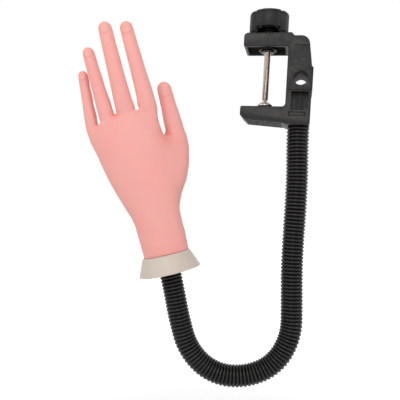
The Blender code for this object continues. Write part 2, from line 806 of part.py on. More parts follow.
def arc_step(turn, length):
    """The move along an arc in the local XZ plane that turns by an angle about Y."""
    if abs(turn) < MERGE:
        return Matrix.Translation((0.0, 0.0, length))
    across = length * (1 - math.cos(turn)) / turn
    along = length * math.sin(turn) / turn
    return Matrix.Translation((across, 0.0, along)) @ Matrix.Rotation(turn, 4, "Y")


def route_frame(distance):
    """The frame on the hose's centre line, this far from the clamp."""
    frame = arm_start()
    for turn_deg in SECTION_TURNS_DEG:
        turn = math.radians(turn_deg)
        if distance <= SECTION_LENGTH:
            return frame @ arc_step(turn * distance / SECTION_LENGTH, distance)
        frame = frame @ arc_step(turn, SECTION_LENGTH)
        distance -= SECTION_LENGTH
    return frame @ Matrix.Translation((0.0, 0.0, distance))


def route_points(distances):
    return [route_frame(distance).translation for distance in distances]


def with_square_ends(start, inner, end):
    """Distances along the hose, with a short step at each end that squares the tube's caps."""
    return [start, start + TUBE_END_STEP] + inner + [end - TUBE_END_STEP, end]


def build_hose_section(number, material, axis):
    """One length of ribbed hose, with its bore. number counts from the clamp, from 1."""
    start = (number - 1) * SECTION_LENGTH
    end = start + SECTION_LENGTH
    half_pitch = RIB_PITCH / 2
    inner = [start + k * half_pitch for k in range(1, 2 * RIBS_PER_SECTION)]
    distances = with_square_ends(start + FIT_GAP / 2, inner, end - FIT_GAP / 2)
    crests = [HOSE_TROUGH_RADIUS if k % 2 else HOSE_RADIUS for k in range(len(inner))]
    radii = [HOSE_TROUGH_RADIUS] * 2 + crests + [HOSE_TROUGH_RADIUS] * 2
    name = f"hose_section_{number:02d}"
    section = add_part(name, tube_mesh(name, route_points(distances), radii), material, axis)
    steps = 4
    reach = SECTION_LENGTH / steps
    bore_distances = [start - CUT_OVERRUN] + [start + k * reach for k in range(1, steps)]
    bore_distances.append(end + CUT_OVERRUN)
    bore_points = route_points(bore_distances)
    if number == 1:
        bore_points[0] = route_frame(0.0) @ Vector((0.0, 0.0, -CUT_OVERRUN))
    bore = tube_mesh(name + "_bore", bore_points, [HOSE_BORE_RADIUS] * len(bore_points))
    boolean(section, add_cutter(name + "_bore", bore))
    return section


def build_core(number, count, material, axis):
    """The wound steel core inside one joint of the arm, from mid-link to mid-link."""
    link_middle = SECTION_LENGTH / 2
    start = 0.0 if number == 1 else (2 * number - 2) * SECTION_LENGTH + link_middle
    end = HOSE_LENGTH if number == count else 2 * number * SECTION_LENGTH + link_middle
    start += FIT_GAP / 2
    end -= FIT_GAP / 2
    steps = round((end - start) / CORE_STEP)
    inner = [start + (end - start) * k / steps for k in range(1, steps)]
    distances = with_square_ends(start, inner, end)
    name = f"arm_core_{number}"
    return add_part(
        name, tube_mesh(name, route_points(distances), [CORE_RADIUS] * len(distances)), material, axis
    )


# Wrist


def build_wrist(materials, arm_axis, hand_axis, hand):
    """The collar that the wrist sits on, and the swivel that holds it to the arm."""
    flange = FERRULE_FLANGE
    stud_top = flange + STUD_LENGTH
    ferrule = (
        (0.0, stud_top),
        (STUD_RADIUS, stud_top),
        (STUD_RADIUS, flange),
        (FERRULE_RADIUS, flange),
        (FERRULE_RADIUS, 0.0),
        (0.0, 0.0),
    )
    add_part(
        "hand_ferrule",
        turned_mesh("hand_ferrule", ferrule, SMALL_ROUND_SIDES),
        materials["steel"],
        arm_axis,
        hand,
    )

    hole = STUD_RADIUS + FIT_GAP
    recess = FERRULE_RADIUS + FIT_GAP
    recess_top = flange + FIT_GAP
    floor_top = recess_top + COLLAR_FLOOR
    dish = COLLAR_FOOT_RADIUS - COLLAR_SHELL
    collar = (
        (SPIGOT_BORE_RADIUS, SPIGOT_TOP),
        (SPIGOT_RADIUS, SPIGOT_TOP),
        (SPIGOT_RADIUS, COLLAR_HEIGHT),
        (COLLAR_TOP_RADIUS - COLLAR_RIM, COLLAR_HEIGHT),
        (COLLAR_TOP_RADIUS, COLLAR_HEIGHT - COLLAR_RIM),
        (COLLAR_FOOT_RADIUS, COLLAR_RIM),
        (COLLAR_FOOT_RADIUS - COLLAR_RIM, 0.0),
        (dish, 0.0),
        (recess + COLLAR_SHELL + COLLAR_FLOOR, COLLAR_FLOOR - COLLAR_RIM),
        (recess + COLLAR_SHELL, COLLAR_FLOOR - COLLAR_RIM),
        (recess + COLLAR_SHELL, 0.0),
        (recess, 0.0),
        (recess, recess_top),
        (hole, recess_top),
        (hole, floor_top),
        (SPIGOT_BORE_RADIUS, floor_top),
        (SPIGOT_BORE_RADIUS, SPIGOT_TOP),
    )
    add_part("wrist_collar", turned_mesh("wrist_collar", collar), materials["collar"], hand_axis, hand)

    washer_foot = floor_top + FIT_GAP
    washer_top = washer_foot + WASHER_THICKNESS
    washer = (
        (hole, washer_top),
        (WASHER_RADIUS, washer_top),
        (WASHER_RADIUS, washer_foot),
        (hole, washer_foot),
        (hole, washer_top),
    )
    add_part(
        "swivel_washer",
        turned_mesh("swivel_washer", washer, SMALL_ROUND_SIDES),
        materials["steel"],
        arm_axis,
        hand,
    )
    nut_foot = washer_top + FIT_GAP
    nut = add_part(
        "swivel_nut",
        cylinder_mesh("swivel_nut", NUT_RADIUS, nut_foot, nut_foot + NUT_HEIGHT, sides=6),
        materials["steel"],
        arm_axis,
        hand,
    )
    bore_foot = nut_foot - CUT_OVERRUN
    bore_top = nut_foot + NUT_HEIGHT + CUT_OVERRUN
    bore = cylinder_mesh("nut_bore", hole, bore_foot, bore_top, sides=SMALL_ROUND_SIDES)
    boolean(nut, add_cutter("nut_bore", bore, hand))

    anchor_foot = SPIGOT_TOP + FIT_GAP
    anchor_top = anchor_foot + ANCHOR_HEIGHT
    plug_radius = SPIGOT_BORE_RADIUS - FIT_GAP
    anchor = (
        (0.0, anchor_top),
        (SPIGOT_RADIUS, anchor_top),
        (SPIGOT_RADIUS, anchor_foot),
        (plug_radius, anchor_foot),
        (plug_radius, anchor_foot - ANCHOR_HEIGHT),
        (0.0, anchor_foot - ANCHOR_HEIGHT),
    )
    add_part(
        "wire_anchor",
        turned_mesh("wire_anchor", anchor, SMALL_ROUND_SIDES),
        materials["collar"],
        hand_axis,
        hand,
    )
    return anchor_top


# Hand


def palm_height(share):
    """The height in the hand's frame, for a share of the palm's length above the collar."""
    return COLLAR_HEIGHT + FIT_GAP + share * PALM_LENGTH


class Digit:
    """One finger or the thumb, in a frame with its root at the origin and Z to its tip."""

    def __init__(self, name, hand):
        shares = DIGIT_SHARES[name]
        root_x, root_y, root_z = shares["root"]
        lean_x, lean_y = shares["lean"]
        rise = DIGIT_RISES[name]
        root = Vector((root_x * PALM_BREADTH, root_y * PALM_THICKNESS, palm_height(root_z)))
        reach = Vector((lean_x * rise, lean_y * rise, rise))
        self.name = name
        self.length = reach.length
        self.width = shares["width"] * PALM_BREADTH
        self.thickness = shares["thickness"] * PALM_THICKNESS
        self.bow = shares["bow"] * rise
        along = reach.normalized()
        palmward = (Vector((0.0, 1.0, 0.0)) - along * along.y).normalized()
        side = palmward.cross(along)
        local = Matrix((side, palmward, along)).transposed().to_4x4()
        local.translation = root
        self.local = local
        self.world = hand @ local
        self.knuckle = KNUCKLE_OFFSET
        self.middle = self.length * MIDDLE_JOINT_SHARE
        self.rounding = TIP_ROUND_SHARE * self.width

    def centre(self, height):
        """The centre line bows to the back of the hand between root and tip."""
        share = max(0.0, min(1.0, height / self.length))
        return Vector((0.0, -self.bow * 4 * share * (1 - share), height))

    def section(self, height):
        scale = interpolate(DIGIT_WIDTH_SHARES, max(0.0, height / self.length))
        scale += STUB_TAPER_SHARE * min(0.0, height) / STUB_LENGTH
        over = max(0.0, height - self.length + self.rounding) / self.rounding
        scale *= math.sqrt(max(0.0, 1 - over**2))
        return self.centre(height), self.width / 2 * scale, self.thickness / 2 * scale, 0.0

    def skin(self, name, foot, top):
        """The skin between two heights above the root, as a closed loft."""
        top = min(top, self.length * TIP_LAST_SHARE)
        step = self.length / DIGIT_STATIONS
        count = max(1, round((top - foot) / step))
        heights = [foot + (top - foot) * k / count for k in range(count + 1)]
        round_start = self.length - self.rounding
        if top > round_start:
            rest = top - round_start
            heights = [h for h in heights if h < round_start - step / 2]
            heights += [round_start + rest * math.sin(math.pi / 2 * k / 4) for k in range(5)]
        return loft_mesh(name, [self.section(height) for height in heights], DIGIT_SIDES)

    def wire_route(self, start):
        """A bending wire's points in the hand's frame, from the anchor up through the digit."""
        root = self.local @ Vector((0.0, 0.0, 0.0))
        along = (self.local.to_3x3() @ Vector((0.0, 0.0, 1.0))).normalized()
        pull = (root - start).length
        points = []
        for k in range(WIRE_POINTS):
            t = k / WIRE_POINTS
            h00, h10 = 2 * t**3 - 3 * t**2 + 1, t**3 - 2 * t**2 + t
            h01, h11 = -2 * t**3 + 3 * t**2, t**3 - t**2
            up = Vector((0.0, 0.0, pull))
            points.append(h00 * start + h10 * up + h01 * root + h11 * along * pull)
        last = self.length * WIRE_END_SHARE
        for k in range(WIRE_POINTS + 1):
            points.append(self.local @ self.centre(last * k / WIRE_POINTS))
        return points


def palm_mesh():
    sections = [
        (
            (offset * PALM_BREADTH, 0.0, palm_height(height)),
            breadth * PALM_BREADTH,
            thickness * PALM_THICKNESS,
            rise,
        )
        for height, offset, breadth, thickness, rise in PALM_SHARES
    ]
    return loft_mesh("palm", sections, SECTION_SIDES)


def thenar_mesh():
    sections = [
        (
            (offset * PALM_BREADTH, palmward * PALM_THICKNESS, palm_height(height)),
            breadth * PALM_BREADTH,
            thickness * PALM_THICKNESS,
            0.0,
        )
        for height, offset, palmward, breadth, thickness in THENAR_SHARES
    ]
    return loft_mesh("ball_of_thumb", sections, SECTION_SIDES)


def build_digit(digit, material, hand_axis, wire_bore):
    """A digit's four lengths of skin, and the axes of its two joints."""
    knuckle_world = digit.world @ Matrix.Translation(digit.centre(digit.knuckle))
    middle_world = digit.world @ Matrix.Translation(digit.centre(digit.middle))
    knuckle_axis = add_axis(f"{digit.name}_knuckle_axis", knuckle_world, hand_axis)
    middle_axis = add_axis(f"{digit.name}_middle_axis", middle_world, knuckle_axis)
    half = FLEX_LENGTH / 2
    gap = FIT_GAP / 2
    lengths = (
        ("knuckle_skin", digit.knuckle - half, digit.knuckle + half, knuckle_axis),
        ("lower", digit.knuckle + half, digit.middle - half, knuckle_axis),
        ("joint_skin", digit.middle - half, digit.middle + half, middle_axis),
        ("tip", digit.middle + half, digit.length, middle_axis),
    )
    for label, foot, top, axis in lengths:
        name = f"{digit.name}_{label}"
        mesh = digit.skin(name, foot + gap, top - gap if label != "tip" else top)
        skin = add_part(name, mesh, material, axis, digit.world)
        boolean(skin, wire_bore)


def build_hand(materials, hand_axis, hand, anchor_top):
    palm = add_part("palm", palm_mesh(), materials["skin"], hand_axis, hand)
    boolean(palm, add_cutter("ball_of_thumb", thenar_mesh(), hand), "UNION")
    digits = [Digit(name, hand) for name in DIGIT_SHARES]
    wires = []
    for place, digit in enumerate(digits):
        stub_top = digit.knuckle - FLEX_LENGTH / 2 - FIT_GAP / 2
        stub = digit.skin(f"{digit.name}_stub", -STUB_LENGTH, stub_top)
        boolean(palm, add_cutter(f"{digit.name}_stub", stub, digit.world), "UNION")
        across = (place - (len(digits) - 1) / 2) * WIRE_SPACING
        start = Vector((across, 0.0, anchor_top + FIT_GAP))
        route = digit.wire_route(start)
        below = start - Vector((0.0, 0.0, FIT_GAP + CUT_OVERRUN))
        radii = [WIRE_BORE_RADIUS] * (len(route) + 2)
        end = route[-1] + (route[-1] - route[-2]).normalized() * FIT_GAP
        bore_mesh = tube_mesh(f"{digit.name}_wire_bore", [below] + route + [end], radii)
        wires.append((digit, route, add_cutter(f"{digit.name}_wire_bore", bore_mesh, hand)))
    cavity = cylinder_mesh(
        "wrist_cavity",
        SPIGOT_RADIUS + FIT_GAP,
        COLLAR_HEIGHT - CUT_OVERRUN,
        anchor_top + FIT_GAP,
    )
    boolean(palm, add_cutter("wrist_cavity", cavity, hand))
    for digit, route, bore in wires:
        boolean(palm, bore)
        build_digit(digit, materials["skin"], hand_axis, bore)
        name = f"{digit.name}_wire"
        wire = tube_mesh(name, route, [WIRE_RADIUS] * len(route))
        add_part(name, wire, materials["steel"], hand_axis, hand)


def build():
    clear_scene()
    new_collection(COLLECTION_NAME)
    new_collection(CUTTER_COLLECTION_NAME)
    materials = {
        "black": make_material("black_plastic", (0.032, 0.032, 0.033), 0.45),
        "hose": make_material("hose_black", (0.012, 0.012, 0.012), 0.38),
        "steel": make_material("bright_steel", (0.62, 0.60, 0.57), 0.25, 1.0),
        "collar": make_material("beige_plastic", (0.72, 0.62, 0.52), 0.5),
        "skin": make_material("pink_rubber", (0.92, 0.41, 0.37), 0.5),
    }
    build_clamp_frame(materials["black"])
    build_bushing(materials["steel"])
    build_clamp_ferrule(materials["steel"])
    build_clip(materials["black"])
    pad_axis = add_axis("pad_slide_axis", Matrix.Translation((0.0, 0.0, PAD_LIFT)))
    screw_axis = add_axis("screw_turn_axis", Matrix.Translation((0.0, 0.0, KNOB_FOOT)), pad_axis)
    build_pad(materials["steel"], pad_axis)
    build_screw(materials["steel"], screw_axis)
    build_knob(materials["black"], screw_axis)

    axis = None
    joint_count = len(SECTION_TURNS_DEG) // 2
    for number in range(1, len(SECTION_TURNS_DEG) + 1):
        if number % 2 == 0:
            joint = number // 2
            middle = (number - 0.5) * SECTION_LENGTH
            axis = add_axis(f"arm_bend_{joint}_axis", route_frame(middle), axis)
            build_core(joint, joint_count, materials["steel"], axis)
        build_hose_section(number, materials["hose"], axis)

    hand = route_frame(HOSE_LENGTH)
    hand_axis = add_axis("wrist_turn_axis", hand, axis)
    anchor_top = build_wrist(materials, axis, hand_axis, hand)
    build_hand(materials, hand_axis, hand, anchor_top)


placed = {}
build()
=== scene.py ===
"""The looks of the nail practice hand: its finishes and fine shapes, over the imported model.

Lengths are in metres, in the model's own frame. The origin lies on the clamp's lower jaw face, Z runs
up the clamp's screw, and X points to the clamp's spine. Values with part.py's names are part.py's,
but KNOB_WALL, HOSE_TROUGH_RADIUS, TIP_LAST_SHARE, DIGIT_SIDES and the palm's tables are finer here.
"""

import math

import bmesh
import bpy
import numpy as np
from mathutils import Matrix, Vector


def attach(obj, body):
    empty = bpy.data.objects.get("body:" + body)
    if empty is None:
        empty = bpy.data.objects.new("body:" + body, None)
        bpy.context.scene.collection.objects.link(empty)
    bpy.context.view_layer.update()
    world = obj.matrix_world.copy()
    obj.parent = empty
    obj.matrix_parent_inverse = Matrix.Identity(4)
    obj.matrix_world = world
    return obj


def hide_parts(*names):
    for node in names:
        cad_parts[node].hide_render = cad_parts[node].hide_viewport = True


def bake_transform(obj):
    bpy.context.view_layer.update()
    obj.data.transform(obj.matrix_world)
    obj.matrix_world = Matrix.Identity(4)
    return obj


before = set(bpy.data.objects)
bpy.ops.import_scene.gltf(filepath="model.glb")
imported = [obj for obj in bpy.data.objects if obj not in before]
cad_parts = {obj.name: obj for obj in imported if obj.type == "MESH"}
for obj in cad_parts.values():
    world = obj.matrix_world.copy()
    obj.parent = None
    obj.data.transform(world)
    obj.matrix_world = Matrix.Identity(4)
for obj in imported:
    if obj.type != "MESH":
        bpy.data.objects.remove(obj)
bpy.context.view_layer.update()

TINY = 1e-9

# Clamp
JAW_OPENING = 0.053
UPPER_JAW_HEIGHT = 0.0123
UPPER_JAW_TOP = JAW_OPENING + UPPER_JAW_HEIGHT
FIT_GAP = 0.0003
# How far edges are rounded, in how many steps, and from which angle on
BROAD_EDGE, SMALL_EDGE, FINE_EDGE = 0.0005, 0.0003, 0.0002
EDGE_STEPS, EDGE_ANGLE = 3, math.radians(22.0)
# Below these, points are one point and faces lie flat
WELD_GAP, FLAT_ANGLE = 0.00001, math.radians(1.0)
# The clamp's insides, which take painted shade and a painted brownish reflection: the cross
# hole's X and Z and a little over its radius, and the hollow of the upper jaw
CROSS_HOLE_PLACE, CROSS_HOLE_REACH = (0.0312, 0.0248), 0.0064
JAW_HOLLOW_LOW, JAW_HOLLOW_HIGH, JAW_HOLLOW_BACK = 0.0537, 0.0600, 0.0190
INSIDE_TILT = 0.5

# Screw
SCREW_RADIUS = 0.0030
SCREW_BALL_RADIUS = 0.0017
SCREW_NECK_RADIUS = 0.0012
SCREW_NECK_LENGTH = 0.0012
BALL_STEPS, BALL_FLAT = 9, 0.05
PAD_LIFT = 0.0023
PAD_SOCKET_WALL = 0.0006
THREAD_PITCH = 0.0010
THREAD_DEPTH = 0.00042
THREAD_RINGS = 6
THREAD_SIDES = 28
FLANK_STEEPNESS, FLANK_CREST = 1.35, 0.15
# Over how many turns the thread begins, and how much thinner the screw is at its start
THREAD_RUN_IN, THREAD_START_INSET = 1.5, 0.0006

# Knob
KNOB_FOOT = UPPER_JAW_TOP + 0.0027
KNOB_HEIGHT = 0.0180
KNOB_RADIUS = 0.0176
KNOB_ROOF = 0.0035
KNOB_FLUTE_DEPTH = 0.0017
KNOB_FLUTE_HALF = math.radians(7.5)
KNOB_FLUTE_FULLNESS = 0.8
KNOB_WALL = 0.0027
KNOB_HOLLOW_DEPTH = 0.0105
KNOB_HUB_RADIUS = 0.0062
KNOB_HUB_EDGE, KNOB_HUB_LIP = 0.0004, 0.0002
KNOB_NOTCH_WIDTH = 0.0225
KNOB_NOTCH_HEIGHT = 0.0027
KNOB_NOTCH_EDGE = 0.0004
KNOB_SIDES = 288
# The wall's inside: how far out and how far above its foot. Its outside: how far in and how far
# above its foot, then how far in and how far below its top.
KNOB_INNER_ROWS = ((0.0, 0.0006), (0.0, 0.0002), (0.0003, 0.0))
KNOB_FOOT_ROWS = ((0.0009, 0.0), (0.0003, 0.0002), (0.0, 0.0008))
KNOB_TOP_ROWS = (
    (0.0, 0.0034), (0.0, 0.0029), (0.0003, 0.0027), (0.0003, 0.0024), (0.0, 0.0022),
    (0.00005, 0.0013), (0.0003, 0.0006), (0.0008, 0.0002), (0.0015, 0.0),
)
KNOB_DOME, KNOB_DOME_SHARES = 0.0007, (0.8, 0.6, 0.4, 0.2, 0.02)

# Bendable arm
ARM_YAW = math.radians(11.7)
ARM_X = 0.0312
HOSE_TOP = -0.0158
HOSE_RADIUS = 0.0100
HOSE_TROUGH_RADIUS = 0.0089
HOSE_BORE_RADIUS = 0.0060
CORE_RADIUS = 0.0051
CORE_PITCH = 0.0018
CORE_RIDGE = 0.0004
CORE_RINGS, CORE_SIDES = 4, 18
SECTION_LENGTH = 0.0289
RIBS_PER_SECTION = 9
SECTION_TURNS_DEG = (-3, 2.5, 1.5, -1.5, -3, 1, 29, 38, 30, 37, 29.5, 5.5, -2.5)
RIB_PITCH = SECTION_LENGTH / RIBS_PER_SECTION
HOSE_LENGTH = SECTION_LENGTH * len(SECTION_TURNS_DEG)
SEAM_RIBS = 5
HOSE_SIDES = 44
STRAIGHT = 0.00001
# One rib: how far along the pitch, and how far from the trough to the crest
RIB_PROFILE = (
    (0.00, 0.00), (0.09, 0.10), (0.18, 0.42), (0.28, 0.79), (0.39, 0.96),
    (0.50, 1.00), (0.61, 0.96), (0.72, 0.79), (0.82, 0.42), (0.91, 0.10),
)

# Wrist collar
COLLAR_HEIGHT = 0.0160
COLLAR_FOOT_RADIUS = 0.0282
COLLAR_TOP_RADIUS = 0.0218
COLLAR_SHELL = 0.0024
COLLAR_FLOOR = 0.0065
COLLAR_CEILING = COLLAR_FLOOR - 0.001
COLLAR_SLANT = 0.0035
COLLAR_BEAD = 0.0024
COLLAR_STEP = 0.0012
COLLAR_SIDES = 96
ROUND_STEPS = 4
SPIGOT_RADIUS = 0.0115
SPIGOT_TOP = 0.0460
SPIGOT_BORE_RADIUS = 0.0085
FERRULE_RADIUS = 0.0092
FERRULE_FLANGE = 0.0027
STUD_RADIUS = 0.0040
ANCHOR_HEIGHT = 0.0045

# Hand, in its own frame: Z up the forearm, X to the thumb's side and Y to the palm's side
PALM_LENGTH = 0.1317
PALM_BREADTH = 0.066
PALM_THICKNESS = 0.026
WRIST_FOOT = COLLAR_HEIGHT + FIT_GAP
SQUARENESS = 2.3
# Each row: height, sideways offset, palmward offset, half breadth, half thickness, and the rise
# towards the thumb
PALM_SHARES = (
    (-0.0563, 0.006, 0.00, 0.312, 0.575, 0.00),
    (0.0021, 0.006, 0.00, 0.312, 0.575, 0.00),
    (0.1178, 0.003, 0.00, 0.321, 0.565, 0.00),
    (0.2246, -0.008, 0.00, 0.321, 0.553, 0.00),
    (0.3010, -0.021, 0.00, 0.342, 0.546, 0.00),
    (0.3842, -0.030, 0.00, 0.394, 0.538, 0.00),
    (0.4685, -0.048, 0.00, 0.433, 0.523, 0.00),
    (0.5595, -0.079, 0.00, 0.458, 0.508, 0.00),
    (0.6584, -0.109, 0.00, 0.473, 0.492, 0.01),
    (0.7719, -0.148, 0.00, 0.479, 0.455, 0.03),
    (0.8595, -0.182, 0.00, 0.487, 0.405, 0.07),
    (0.9213, -0.186, 0.00, 0.487, 0.365, 0.11),
    (0.9607, -0.184, 0.00, 0.478, 0.338, 0.14),
    (0.9843, -0.172, 0.00, 0.450, 0.312, 0.15),
)
THENAR_SHARES = (
    (0.2561, 0.152, 0.15, 0.136, 0.40, 0.0),
    (0.3774, 0.212, 0.19, 0.174, 0.45, 0.0),
    (0.4685, 0.288, 0.25, 0.212, 0.47, 0.0),
    (0.5752, 0.364, 0.31, 0.218, 0.45, 0.0),
    (0.6809, 0.424, 0.34, 0.203, 0.41, 0.0),
    (0.7651, 0.462, 0.35, 0.170, 0.36, 0.0),
    (0.8382, 0.485, 0.35, 0.128, 0.30, 0.0),
)
PALM_SIDES = 48
SKIN_VOXEL = 0.0009
SKIN_SMOOTHING, SKIN_SMOOTHING_SHARE = 22, 0.5
# Where the back of the hand is drawn taut from the palm to the ball of the thumb
TAUT_START, TAUT_END, TAUT_ROWS = 0.26, 0.785, 24
TAUT_LIMIT = 0.003

# Each digit: root, lean, bow, width and thickness in part.py's shares, rise, and nail's length
DIGITS = {
    "little": ((-0.6091, 0.1154, 0.9544), (0.0345, 0.0384), 0.0192, 0.1697, 0.4231, 0.0521, 0.0097),
    "ring": ((-0.3727, 0.0000, 0.9848), (-0.0685, 0.0446), 0.0208, 0.2091, 0.4923, 0.0672, 0.0106),
    "middle": ((-0.1091, -0.0308, 1.0000), (-0.0260, 0.0449), 0.0213, 0.2470, 0.5385, 0.0846, 0.0120),
    "index": ((0.2045, -0.0154, 1.0076), (-0.0514, 0.0427), 0.0201, 0.2364, 0.5231, 0.0797, 0.0130),
    "thumb": ((0.4848, 0.3500, 0.8405), (-0.0329, 0.0258), 0.0047, 0.2545, 0.5923, 0.0426, 0.0150),
}
DIGIT_WIDTH_SHARES = (
    (0.00, 1.00), (0.16, 0.97), (0.33, 0.90), (0.50, 0.84), (0.68, 0.81), (0.80, 0.785), (1.00, 0.72),
)
DIGIT_EASE = 0.05
DIGIT_SIDES = 88
DIGIT_STEP = 0.0004
TIP_ROUND_SHARE = 0.36
TIP_LAST_SHARE = 0.9995
# How much denser the rings are over the tip, and how far its centre moves back as it closes
TIP_DENSITY, TIP_LIFT_SHARE = 1.6, 0.32
# How far a digit's root stands out on the back of the hand, and over what share of its length
ROOT_LIFT, ROOT_LIFT_SHARE = 0.0008, 0.50
STUB_LENGTH = 0.015
STUB_TAPER_SHARE = 0.30
STUB_OVERRUN, STUB_RINGS = 0.005, 12
KNUCKLE_OFFSET = 0.0078
FLEX_LENGTH = 0.0100
MIDDLE_JOINT_SHARE = 0.50

# Nails, creases and pads. The cuticle's, nail sides' and creases' values say how strongly painted
# shade makes each deeper pink.
DORSAL_FADE, PALMAR_FADE = 0.5, 0.45
NAIL_WIDTH_SHARE = 0.80
NAIL_RISE = 0.00022
NAIL_GROOVE, NAIL_SIDE_SHARE = 0.00020, 0.5
NAIL_EDGE, NAIL_FADE = 0.00045, 0.0012
CUTICLE_ARCH = 0.0022
CUTICLE_SHADE, NAIL_SIDE_SHADE = 0.40, 0.10
CREASE_DEPTH = 0.00030
CREASE_WIDTH = 0.00055
CREASE_SHARES = (0.07, 0.40, 0.455, 0.70)
CREASE_SHADE = 0.45
PAD_SHARES = (0.22, 0.56, 0.86)
PAD_RISE, PAD_WIDTH_SHARE = 0.00045, 0.09

# Finger wires
WIRE_RADIUS = 0.0011
WIRE_BORE_RADIUS = 0.0016
WIRE_END_SHARE = 0.80
WIRE_SPACING = 0.0038
WIRE_LEAD_STEPS, WIRE_STEPS = 16, 24
WIRE_SIDES = 16
BORE_RINGS = 12

# Creases of the palm, as points (x, z) in the hand's frame
PALM_LINES = (
    (
        (0.0200, 0.1270), (0.0120, 0.1180), (0.0045, 0.1060),
        (-0.0005, 0.0900), (0.0010, 0.0740), (0.0060, 0.0620),
    ),
    ((0.0200, 0.1270), (0.0080, 0.1210), (-0.0070, 0.1130), (-0.0210, 0.1010), (-0.0290, 0.0900)),
    ((-0.0390, 0.1220), (-0.0270, 0.1240), (-0.0140, 0.1290), (-0.0030, 0.1370)),
)
PALM_LINE_DEPTH = 0.0006
PALM_LINE_WIDTH = 0.0010
# How many points each line is drawn with, and how strongly painted shade makes it deeper pink
PALM_LINE_POINTS, PALM_LINE_SHADE = 60, 0.5

# The skin between neighbouring digits: x, y, z, half breadth, half thickness and half height
WEBS = (
    (-0.0333, 0.0015, 0.1396, 0.0040, 0.0050, 0.0030),
    (-0.0166, 0.0000, 0.1458, 0.0040, 0.0056, 0.0030),
    (0.0038, -0.0005, 0.1455, 0.0042, 0.0058, 0.0030),
)
WEB_RINGS, WEB_SWEEP = 9, 1.45
# How deep the slot over each web is rounded out
WEB_SINKS = (0.0012, 0.0008, 0.0014)
WEB_SINK_WIDTH, WEB_SINK_REACH = 0.0016, 0.0040
# Painted shade in the webs, a deeper pink: how far it reaches, how it is stretched, and how strong it
# is
WEB_SHADE_REACH, WEB_STRETCH, WEB_SHADE = 0.0050, (1.0, 1.6, 1.0), 0.45
# The web of the thumb, with its painted shade: place, reach, stretch and strength
THUMB_WEB = (0.0225, 0.0000, 0.1190)
THUMB_SHADE_REACH, THUMB_STRETCH, THUMB_SHADE = 0.0065, (1.0, 1.6, 1.4), 0.75

# Seams between the palm and the digits. How far below its seam a digit's own outline takes over
# the palm's skin, elsewhere and beside a web, and where beside begins and how it fades in
SEAM_REACH, WEB_REACH = 0.014, 0.0055
BESIDE_START, BESIDE_FADE = 0.45, 0.40
SEAM_MARGIN = 0.004
# How far outside the digit its outline still holds, sideways and in depth, and how it fades
SIDE_MARGIN, SIDE_FADE = 0.0004, 0.0016
DEPTH_MARGIN, DEPTH_FADE = 0.004, 0.004
CORE_SHARE = 0.4
# How far a digit's root spreads beside a web, and how far up its side
ROOT_FLARE, FLARE_REACH = 0.0009, 0.0100
FLARE_SIDES = {"middle": 1, "index": -1}
WEB_SIDES = {"little": (1,), "ring": (-1, 1), "middle": (-1, 1), "index": (-1,), "thumb": ()}
# The box round a digit's foot in which it is cut off, as shares of its width and thickness
CUT_WIDTH_SHARE, CUT_THICKNESS_SHARE, CUT_MARGIN = 1.15, 1.6, 0.002
RIM_REACH = 0.001

# Camera, from the photograph's perspective
CAMERA_PLACE = (0.0377, -0.4481, -0.0862)
CAMERA_ROLL = math.radians(3.3)
CAMERA_LENS, CAMERA_SENSOR, CAMERA_NEAR = 44.0, 36.0, 0.01

# Studio
WHITE = (1.0, 1.0, 1.0)
FLOOR_HEIGHT = -0.47
FLOOR_SIZE = 8.0
FLOOR_COLOUR, FLOOR_ROUGHNESS = (0.80, 0.80, 0.80), 0.9
FLOOR_GLOW, FLOOR_GLOW_START, FLOOR_GLOW_END = 0.35, 0.60, 1.10
WORLD_LIGHT = 0.405
LIGHT_TARGET = (-0.04, -0.01, -0.08)
# Each light: name, place, size and power
LIGHTS = (
    ("front softbox", (-0.05, -1.38, 0.62), (0.7, 0.7), 8.2),
    ("left strip", (-1.10, -0.72, 0.50), (0.3, 1.0), 3.6),
    ("right strip", (1.20, -0.45, 0.30), (0.3, 1.0), 3.9),
    ("top softbox", (0.0, 0.2, 1.5), (1.0, 1.0), 2.1),
)


# Frames, curves and meshes


def axes_frame(x, y, z, origin):
    """The frame with these axes and this origin."""
    place = Matrix((x, y, z)).transposed().to_4x4()
    place.translation = origin
    return place


def carried(points, place):
    """Points given in a frame's own coordinates, in those that the frame itself is given in."""
    place = np.array(place)
    return points @ place[:3, :3].T + place[:3, 3]


def circle(sides):
    """The cosine and sine round a circle."""
    angles = np.arange(sides) * (2 * math.pi / sides)
    return np.cos(angles), np.sin(angles)


def superellipse(half_x, half_y, cosine, sine):
    power = 2 / SQUARENESS
    x = half_x * np.sign(cosine) * np.abs(cosine) ** power
    y = half_y * np.sign(sine) * np.abs(sine) ** power
    return x, y


def outward(x, y, half_x, half_y):
    """The outward direction of a superellipse at its own points, in XY."""
    power = SQUARENESS - 1
    gx = np.sign(x) * np.abs(x / half_x) ** power / half_x
    gy = np.sign(y) * np.abs(y / half_y) ** power / half_y
    size = np.maximum(np.hypot(gx, gy), TINY)
    return np.stack([gx / size, gy / size, np.zeros_like(gx)], -1)


def smoothstep(value):
    value = np.clip(value, 0.0, 1.0)
    return value * value * (3 - 2 * value)


def bump(value, width):
    return np.exp(-((value / width) ** 2))


def rounded(corners):
    """Corners are (x, y, radius) in order. Each becomes an arc of its radius."""
    outline = []
    for i, (x, y, radius) in enumerate(corners):
        if not radius:
            outline.append((x, y))
            continue
        corner = Vector((x, y))
        before = (Vector(corners[i - 1][:2]) - corner).normalized()
        after = (Vector(corners[(i + 1) % len(corners)][:2]) - corner).normalized()
        reach = radius / math.tan(before.angle(after) / 2)
        start, end = corner + before * reach, corner + after * reach
        for k in range(ROUND_STEPS + 1):
            t = k / ROUND_STEPS
            outline.append(tuple(start * (1 - t) ** 2 + corner * 2 * t * (1 - t) + end * t**2))
    return outline


def level_rings(rows, sides):
    """Level rings. Each row is a radius and a height, each one value or one for each side."""
    cosine, sine = circle(sides)
    return [
        np.stack([radius * cosine, radius * sine, np.broadcast_to(height, sides)], -1)
        for radius, height in rows
    ]


